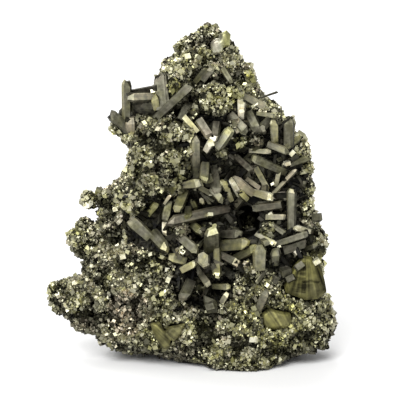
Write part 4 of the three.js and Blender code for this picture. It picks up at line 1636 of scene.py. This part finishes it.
@dataclass(frozen=True)
class SmallBlades:
    """How small blades fill the deep places of the crust, painted darker as painted shade the less
    open they lie.
    """

    spacing: float = 3.2 * MM
    length: tuple[float, float] = (3.0 * MM, 7.5 * MM)
    width: tuple[float, float] = (1.3 * MM, 3.2 * MM)
    thick: tuple[float, float] = (0.35, 0.7)
    roll: tuple[float, float] = (-0.9, 0.9)
    end_share: tuple[float, float] = (0.3, 0.8)
    slant: tuple[float, float] = (-0.6, 0.6)
    facing: float = 0.15
    outward: tuple[float, float] = (0.2, 0.7)
    jumble: float = 0.8
    flatter: float = 0.6
    # Painted shade: the tone rises with how open a blade lies. A few ends get a painted glint.
    tone_deep: float = 0.16
    tone_open: float = 0.27
    tone_spread: float = 0.1
    tone_range: tuple[float, float] = (0.05, 0.6)
    painted_glint_share: float = 0.03
    painted_glint_tone: float = 0.9
    end_factor: float = 1.2
    hue: float = 0.4
    shade: tuple[float, float] = (0.12, 0.88)
    root_mm: float = 1.0
    behind: float = -0.2 * MM
    most_open: float = 0.95
    open_rays: int = 12

    def grown(self, crust: Shell, tree: BVHTree, reach: float, rng: np.random.Generator) -> Shell:
        """Grows the blades whose tips stay behind what the viewer sees.

        Args:
            crust: what they grow on.
            tree: the crust and the mass.
            reach: how far off a surface still covers a place, in metres.
            rng: the source of chance.

        Returns:
            The blades.
        """
        normals, _ = crust.normals()
        keep = normals @ -VIEW.into() > self.facing
        places, facing, _ = scattered(crust, keep, self.spacing, rng)
        shades = openness(places, facing, tree, reach, self.open_rays)
        made = []
        for place, normal, shade in zip(places, facing, shades):
            way = normal * rng.uniform(*self.outward) + rng.normal(size=3) * self.jumble
            way[1] *= self.flatter
            way /= np.linalg.norm(way)
            way = way if way @ normal > 0 else -way
            length = rng.uniform(*self.length)
            width = rng.uniform(*self.width)
            shape = BladeShape(
                width=width,
                thick=width * rng.uniform(*self.thick),
                roll=rng.uniform(*self.roll),
                end_share=rng.uniform(*self.end_share),
                slant=rng.uniform(*self.slant),
            )
            tone = rng.normal(self.tone_deep + self.tone_open * shade, self.tone_spread)
            tone = float(np.clip(tone, *self.tone_range))
            painted_glint = rng.random() < self.painted_glint_share
            end_tone = self.painted_glint_tone if painted_glint else tone * self.end_factor
            tip = place + way * length
            across, up = VIEW.seen(tip[None])[0]
            front = VIEW.hit(tree, across, up)
            buried = front is not None and (tip - front) @ VIEW.into() > self.behind
            off = abs(across - SHADOW_GAP[0]) + abs(up - SHADOW_GAP[1])
            if buried and off > SHADOW_GAP[2] and shade < self.most_open:
                root = place - way * self.root_mm * MM
                lit = self.shade[0] + self.shade[1] * shade
                made.append(shape.grown(root, tip, tone, end_tone, self.hue, lit))
        return Shell.joined(made)


@dataclass
class BladedHollow:
    """The crust of the hollow: its blades, small ones between them, clusters and grains."""

    small_blades: SmallBlades = SmallBlades()
    cluster: RoundCluster = RoundCluster()
    single: SingleCrystal = SingleCrystal()
    cluster_druse: Druse = Druse()
    sugar: Druse = Druse(spacing=1.6 * MM, half=0.42 * MM)
    sugar_share: float = 0.5
    sugar_shade: float = 0.6
    splinter: Druse = Druse(spacing=2.3 * MM, half=0.7 * MM, largest=1.3 * MM, uneven=0.4)
    splinter_facing: float = 0.1
    splinter_shade: tuple[float, float] = (0.06, 0.94)
    splinter_narrow: float = 0.6
    splinter_long: float = 1.7
    # Splinters are painted darker as painted shade, and the crust near black, the painted shadow of
    # the deep hollow.
    splinter_painted_shade: float = 0.62
    dust_hue: float = 0.45
    crust_shadow_tone: float = 0.0
    crust_spread: float = 0.06
    crust_sink: float = 1.3 * MM
    crust_rays: int = 16
    open_reach: float = 10 * MM
    open_rays: int = 8
    clear: float = 1.0 * MM
    end_on_root_mm: float = 3.0
    end_on_tip_mm: float = 2.6
    end_on_side: float = 0.12
    end_on_up: float = 0.18
    # The sides of a crystal that points at the viewer are painted darker than its end, as painted
    # shade.
    end_on_side_shade: float = 0.7
    seed: int = 23

    def crust(self, around: BVHTree, rng: np.random.Generator) -> Shell:
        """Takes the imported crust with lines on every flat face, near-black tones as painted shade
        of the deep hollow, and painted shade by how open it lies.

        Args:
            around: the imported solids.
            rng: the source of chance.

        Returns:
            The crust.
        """
        shell = Shell.of_object(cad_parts["hollow_blade_crust"])
        shell.flats, chance = coplanar_flats(shell, rng)
        shell.tones = self.crust_shadow_tone + self.crust_spread * chance
        normals = shell.point_normals()
        shell.shades = openness(shell.points, normals, around, self.open_reach, self.crust_rays)
        shell.points = shell.points + VIEW.into() * self.crust_sink
        return shell

    def end_on(self, tree: BVHTree) -> Shell:
        """Grows the crystals that point at the viewer.

        Args:
            tree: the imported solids.

        Returns:
            The crystals.
        """
        made = []
        for across, up, width, tone in END_ON_CRYSTALS:
            place = VIEW.hit(tree, across, up)
            back = -VIEW.into()
            way = back + np.array([self.end_on_side * math.sin(across), 0.0, self.end_on_up])
            shape = BladeShape(
                width=width * MM,
                thick=width * MM,
                face_share=0.5,
                end_share=0.86,
                end_length=0.12,
            )
            root = place - way * self.end_on_root_mm * MM
            tip = place + way * self.end_on_tip_mm * MM
            made.append(shape.grown(root, tip, tone * self.end_on_side_shade, tone, 0.5, 1.0))
        return Shell.joined(made)

    def shards(
        self, crust: Shell, tree: BVHTree, blades: BVHTree, rng: np.random.Generator
    ) -> Shell:
        """Scatters splinters between the blades.

        Args:
            crust: what they grow on.
            tree: the crust and the mass.
            blades: the blades, which stay clean.
            rng: the source of chance.

        Returns:
            The splinters.
        """
        keep = crust.normals()[0] @ -VIEW.into() > self.splinter_facing
        places, facing, _ = scattered(crust, keep, self.splinter.spacing, rng)
        chosen = self.bare(places, blades)
        places, facing = places[chosen], facing[chosen]
        deep, rest = self.splinter_shade
        shades = deep + rest * openness(places, facing, tree, self.open_reach, self.open_rays)
        swarm = self.splinter.swarm(places, facing, shades, self.dust_hue, rng)
        swarm.sizes[:, 0] *= self.splinter_narrow
        swarm.sizes[:, 2] *= self.splinter_long
        swarm.tones *= self.splinter_painted_shade
        return Shell.joined(self.splinter.grown(swarm, rng))

    def bare(self, places: np.ndarray, blades: BVHTree) -> np.ndarray:
        """Finds the places that no blade lies close behind.

        Args:
            places: the places.
            blades: the blades.

        Returns:
            Whether each place is free.
        """
        into = Vector(VIEW.into())
        reach = self.clear * 3
        across, up, wide, high = SHADOW_GAP
        away = (VIEW.seen(places) - [across, up]) / [wide, high]
        far = reach + self.clear * 2
        free = [
            blades.ray_cast(Vector(place) - into * reach, into, far)[0] is None
            for place in places
        ]
        return np.array(free) & ((away**2).sum(axis=1) > 1)

    def dust(
        self, crust: Shell, tree: BVHTree, blades: BVHTree, rng: np.random.Generator
    ) -> list[Shell]:
        """Dusts the crust with grains.

        Args:
            crust: what they grow on.
            tree: the crust and the mass.
            blades: the blades, which stay clean.
            rng: the source of chance.

        Returns:
            The grains.
        """
        _, areas = crust.normals()
        places, facing, _ = scattered(crust, areas > 0, self.sugar.spacing, rng)
        chosen = rng.random(len(places)) < self.sugar_share
        chosen &= self.bare(places, blades)
        places, facing = places[chosen], facing[chosen]
        shades = openness(places, facing, tree, self.open_reach, self.open_rays)
        swarm = self.sugar.swarm(places, facing, shades * self.sugar_shade, self.dust_hue, rng)
        return self.sugar.grown(swarm, rng)

    def build(
        self, solids: Shell, bladed: bpy.types.Material, druse: bpy.types.Material
    ) -> list[bpy.types.Object]:
        """Makes the pieces of the hollow.

        Args:
            solids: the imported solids.
            bladed: the finish of the blades.
            druse: the finish of the clusters.

        Returns:
            The pieces.
        """
        rng = np.random.default_rng(self.seed)
        around = solids.tree()
        crust = self.crust(around, rng)
        base = crust.to_object("hollow_crust", bladed)
        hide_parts("hollow_blade_crust")
        blades = NamedBlades()
        small = self.small_blades.grown(crust, around, self.open_reach, rng)
        named = blades.grown(around, HOLLOW_BLADES, rng)
        outer = blades.grown(around, SUMMIT_BLADES + FRONT_BLADES, rng)
        front = named.tree()
        shards = self.shards(crust, around, front, rng)
        dressed = Shell.joined([solids, named]).tree()
        singles = [self.single.grown(dressed, row) for row in SINGLE_CRYSTALS]
        sugar = self.dust(crust, around, front, rng)
        balls = []
        for row in HOLLOW_BALLS:
            balls += self.cluster.grown(around, row, self.cluster_druse, rng)
        parts = (
            ("hollow_small_blades", small, bladed, "bladed"),
            ("hollow_blades", named, bladed, "bladed"),
            ("outer_blades", outer, bladed, "bladed"),
            ("end_on_crystals", self.end_on(around), bladed, "bladed"),
            ("hollow_shards", shards, bladed, "bladed"),
            ("single_crystals", Shell.joined(singles), bladed, "bladed"),
            ("hollow_sugar", Shell.joined(sugar), druse, "druse"),
            ("hollow_balls", Shell.joined(balls), druse, "druse"),
        )
        pieces = [base]
        for name, shell, finish, slot in parts:
            piece = shell.to_object(name, finish)
            pieces.append(piece)
        return pieces


@dataclass
class PlainCrystal:
    """Crystals whose packed form is right: they get growth lines, fine edges and a finish."""

    node: str
    slot: str
    tone: tuple[float, float]
    seed: int
    bevel: float = 0.25 * MM

    def build(self, finish: bpy.types.Material) -> bpy.types.Object:
        """Makes the piece.

        Args:
            finish: its finish.

        Returns:
            The piece.
        """
        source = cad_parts[self.node]
        copy = bpy.data.objects.new("crystal_source", source.data.copy())
        bpy.context.scene.collection.objects.link(copy)
        bevel = copy.modifiers.new("edges", "BEVEL")
        bevel.width, bevel.segments, bevel.limit_method = self.bevel, 1, "ANGLE"
        shell = Shell.of_object(copy)
        bpy.data.objects.remove(copy)
        rng = np.random.default_rng(self.seed)
        shell.flats, chance = coplanar_flats(shell, rng)
        shell.tones = self.tone[0] + (self.tone[1] - self.tone[0]) * chance
        piece = shell.to_object(self.node + "_dressed", finish)
        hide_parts(self.node)
        return piece


@dataclass
class FanCrystal:
    """A smooth crystal whose growth lines spread from its pole like the ribs of a fan.

    Layers cross the ribs on one side where they start is given. A crack is given as across of its
    two ends, its height and its bend; it is sunk and painted dark, a painted shadow.
    """

    node: str
    pole: tuple[float, float]
    tone: float
    hue: float
    seed: int
    pitch: float = 1.2
    rib: float = 0.15
    wide_step: int = 4
    fewest_steps: int = 8
    dome: float = 0.9
    dome_level: float = 0.4
    bands: int = 7
    rib_tone: float = 0.3
    wide_tone: float = 0.25
    band_tone: float = 0.18
    layers_from: float | None = None
    layer_pitch: float = 0.35
    layer_edge: float = 4
    layer_height: float = 1.6
    layer_level: float = 0.55
    spare_layers: int = 4
    crack: tuple[float, float, float, float] | None = None
    crack_wide_mm: float = 0.45
    crack_depth_mm: float = 0.9
    crack_shadow: float = 0.85
    hue_across: tuple[float, float] | None = None
    least_hue: float = 0.4
    voxel: float = 0.42 * MM
    softenings: int = 2
    slot: str = "brassy"

    def build(self, finish: bpy.types.Material) -> bpy.types.Object:
        """Makes the piece.

        Args:
            finish: its finish.

        Returns:
            The piece.
        """
        rng = np.random.default_rng(self.seed)
        shell = Shell.fine(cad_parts[self.node], self.voxel, self.softenings)
        seen = VIEW.seen(shell.points)
        normals = shell.point_normals()
        front = np.clip(normals @ -VIEW.into(), 0, 1)
        away = seen - np.array(self.pole)
        reach = np.linalg.norm(away, axis=1)
        mean_reach = float(reach.mean())
        around = np.arctan2(away[:, 0], away[:, 1]) * mean_reach
        steps = np.arange(around.min() - 1, around.max() + 1, self.pitch * 0.5)
        ribs = np.interp(around, steps, rng.random(len(steps)))
        wide = ribs
        if len(steps) > self.fewest_steps:
            far_steps = steps[:: self.wide_step]
            wide = np.interp(around, far_steps, rng.random(len(far_steps)))
        places = np.linspace(reach.min(), reach.max(), self.bands)
        bands = np.interp(reach, places, rng.random(self.bands))
        middle = (seen.min(axis=0) + seen.max(axis=0)) / 2
        half = (seen.max(axis=0) - seen.min(axis=0)) / 2
        round_up = np.clip(1 - (((seen - middle) / half) ** 2).sum(axis=1), 0, 1)
        if self.layers_from is not None:
            levels = np.arange(0, reach.max() + 1, self.pitch * self.layer_pitch)
            count = int(reach.max() / self.pitch / self.layer_pitch) + self.spare_layers
            heights = rng.random(count)
            rings = np.interp(reach, levels, heights[: len(levels)])
            layered = (self.layers_from - around / mean_reach) * self.layer_edge
            layered = np.clip(layered, 0, 1)
            rings = rings * self.layer_height - self.layer_level
            ribs = ribs * (1 - layered) + rings * layered
        lift = (ribs - 0.5) * self.rib * 2 + (wide - 0.5) * self.rib * 2
        lift = lift + self.dome * (round_up - self.dome_level)
        painted_dark = np.ones(len(seen))
        if self.crack is not None:
            from_across, to_across, up, bend = self.crack
            place = (seen[:, 0] - from_across) / (to_across - from_across)
            off = np.abs(seen[:, 1] - up - bend * (1 - (2 * place - 1) ** 2))
            inside = np.clip(1 - off / self.crack_wide_mm, 0, 1) * ((place > 0) & (place < 1))
            lift -= self.crack_depth_mm * inside
            painted_dark -= self.crack_shadow * inside
        shell.points = shell.points + normals * (lift * front * MM)[:, None]
        shell.shades = painted_dark
        point_tone = self.tone + self.rib_tone * (ribs - 0.5) + self.wide_tone * (wide - 0.5)
        point_tone = point_tone + self.band_tone * (bands - 0.5)
        shell.tones = np.clip(point_tone[shell.corners].mean(axis=1), 0, 1)
        shell.hues[:] = self.hue
        if self.hue_across is not None:
            start, end = self.hue_across
            share = (seen[shell.corners[:, 0], 0] - start) / (end - start)
            shell.hues = np.clip(share, self.least_hue, 1)
        shell.flats = (np.stack([around, reach], axis=1) * MM)[shell.corners]
        piece = shell.to_object(self.node + "_dressed", finish, smooth=True)
        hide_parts(self.node)
        return piece


@dataclass
class Studio:
    """A white board, soft lights and the camera.

    Each sun is given as its degrees round from the front, its degrees above the horizon, how wide
    it looks in degrees and its strength.
    """

    target: tuple[float, float, float] = (2.09 * MM, 1.15 * MM, 64.0 * MM)
    across_mm: float = 160.0
    lens_mm: float = 300.0
    sensor_mm: float = 36.0
    clip: tuple[float, float] = (0.05, 20.0)
    floor_half: float = 4.0
    sky_color: str = "#ffffff"
    sky_strength: float = 0.54
    key_sun: tuple[float, float, float, float] = (-25, 42, 45, 2.85)
    back_sun: tuple[float, float, float, float] = (-155, 50, 40, 1.6)

    def floor(self) -> bpy.types.Object:
        """Makes the floor.

        Returns:
            The floor.
        """
        mesh = bpy.data.meshes.new("floor")
        half = self.floor_half
        corners = [(-half, -half, 0), (half, -half, 0), (half, half, 0), (-half, half, 0)]
        mesh.from_pydata(corners, [], [(0, 1, 2, 3)])
        mesh.materials.append(FloorFinish().build())
        floor = bpy.data.objects.new("floor", mesh)
        bpy.context.scene.collection.objects.link(floor)
        return floor

    def sun(
        self, name: str, azimuth: float, elevation: float, spread: float, strength: float
    ) -> None:
        """Adds a broad soft light that is the same everywhere.

        Args:
            name: the light's name.
            azimuth: degrees round from the front, positive to the right.
            elevation: degrees above the horizon.
            spread: how wide it looks, in degrees.
            strength: its strength.
        """
        light = bpy.data.lights.new(name, "SUN")
        light.energy, light.angle = strength, math.radians(spread)
        lamp = bpy.data.objects.new(name, light)
        a, e = math.radians(azimuth), math.radians(elevation)
        back = Vector((math.sin(a) * math.cos(e), -math.cos(a) * math.cos(e), math.sin(e)))
        lamp.rotation_euler = back.to_track_quat("Z", "Y").to_euler()
        bpy.context.scene.collection.objects.link(lamp)

    def sky(self) -> None:
        """Sets the light that comes from all round."""
        world = bpy.data.worlds.new("room")
        world.use_nodes = True
        back = world.node_tree.nodes["Background"]
        back.inputs["Color"].default_value = linear(self.sky_color)
        back.inputs["Strength"].default_value = self.sky_strength
        bpy.context.scene.world = world

    def camera(self) -> None:
        """Sets up the camera at the photograph's viewing angle."""
        data = bpy.data.cameras.new("camera")
        data.lens, data.sensor_width = self.lens_mm, self.sensor_mm
        distance = self.across_mm * MM * self.lens_mm / self.sensor_mm
        camera = bpy.data.objects.new("camera", data)
        back = -Vector(VIEW.into())
        camera.location = Vector(self.target) + back * distance
        camera.rotation_euler = back.to_track_quat("Z", "Y").to_euler()
        data.clip_start, data.clip_end = self.clip
        bpy.context.scene.collection.objects.link(camera)
        bpy.context.scene.camera = camera

    def build(self) -> None:
        """Builds the studio."""
        self.floor()
        self.sky()
        self.sun("key", *self.key_sun)
        self.sun("back", *self.back_sun)
        self.camera()
        bpy.context.scene.view_settings.view_transform = "Standard"


def report(pieces: list[bpy.types.Object]) -> None:
    """Writes the size of each piece to the log.

    Args:
        pieces: the pieces.
    """
    for piece in pieces:
        LOG.info("%s: %d triangles", piece.name, len(piece.data.polygons))


# The blades that keep their packed form; the ledge's are kept near black as painted shade under the
# ledge's placed blades.
PACKED_BLADES = (
    PlainCrystal("ledge_blades", "ledge", tone=(0.04, 0.18), seed=40),
    PlainCrystal("front_blade", "ledge", tone=(0.5, 0.6), seed=41),
)
# The smooth crystals: clean grey facets under the summit, and the brassy ones low on the front.
SUMMIT_FACET = FanCrystal(
    "summit_facet_crystal",
    pole=(-20.0, 200.0),
    tone=0.46,
    hue=0.5,
    seed=45,
    dome=0.5,
    hue_across=(9.0, 14.0),
    slot="pale",
)
BRASSY_CRYSTALS = (
    FanCrystal(
        "right_fan_crystal",
        pole=(46.0, 54.0),
        tone=0.24,
        hue=0.85,
        seed=42,
        layers_from=-2.85,
        crack=(44.6, 51.6, 36.0, 0.5),
    ),
    FanCrystal(
        "front_fan_crystal",
        pole=(60.0, -20.0),
        tone=0.52,
        hue=0.75,
        seed=43,
        pitch=0.9,
        rib=0.1,
        dome=0.2,
    ),
    FanCrystal(
        "foot_slab_crystal",
        pole=(-60.0, 60.0),
        tone=0.40,
        hue=0.6,
        seed=44,
        pitch=1.1,
        rib=0.12,
        dome=0.2,
    ),
)
LEDGE_SEED = 31


def main() -> None:
    """Builds the specimen and its studio in order."""
    Studio().build()
    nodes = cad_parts
    standing = [Shell.of_object(nodes[name]) for name in sorted(nodes) if name != "druse_matrix"]
    solids = Shell.joined(standing + [Shell.of_object(nodes["druse_matrix"])])
    everything = solids.tree()
    druse, bladed, brassy, pale = DRUSE.build(), BLADED.build(), BRASSY.build(), PALE.build()
    smooth = Shell.joined([Shell.of_object(nodes[name]) for name in SMOOTH_NODES]).tree()
    report(DruseMatrix().build(Shell.joined(standing).tree(), smooth, everything, druse))
    report(BladedHollow().build(solids, bladed, druse))
    ledge = NamedBlades().grown(everything, LEDGE_BLADES, np.random.default_rng(LEDGE_SEED))
    ledge_piece = ledge.to_object("ledge_detail", bladed)
    report([ledge_piece])
    report([crystal.build(bladed) for crystal in PACKED_BLADES])
    report([SUMMIT_FACET.build(pale)])
    report([crystal.build(brassy) for crystal in BRASSY_CRYSTALS])


if __name__ == "__main__":
    main()
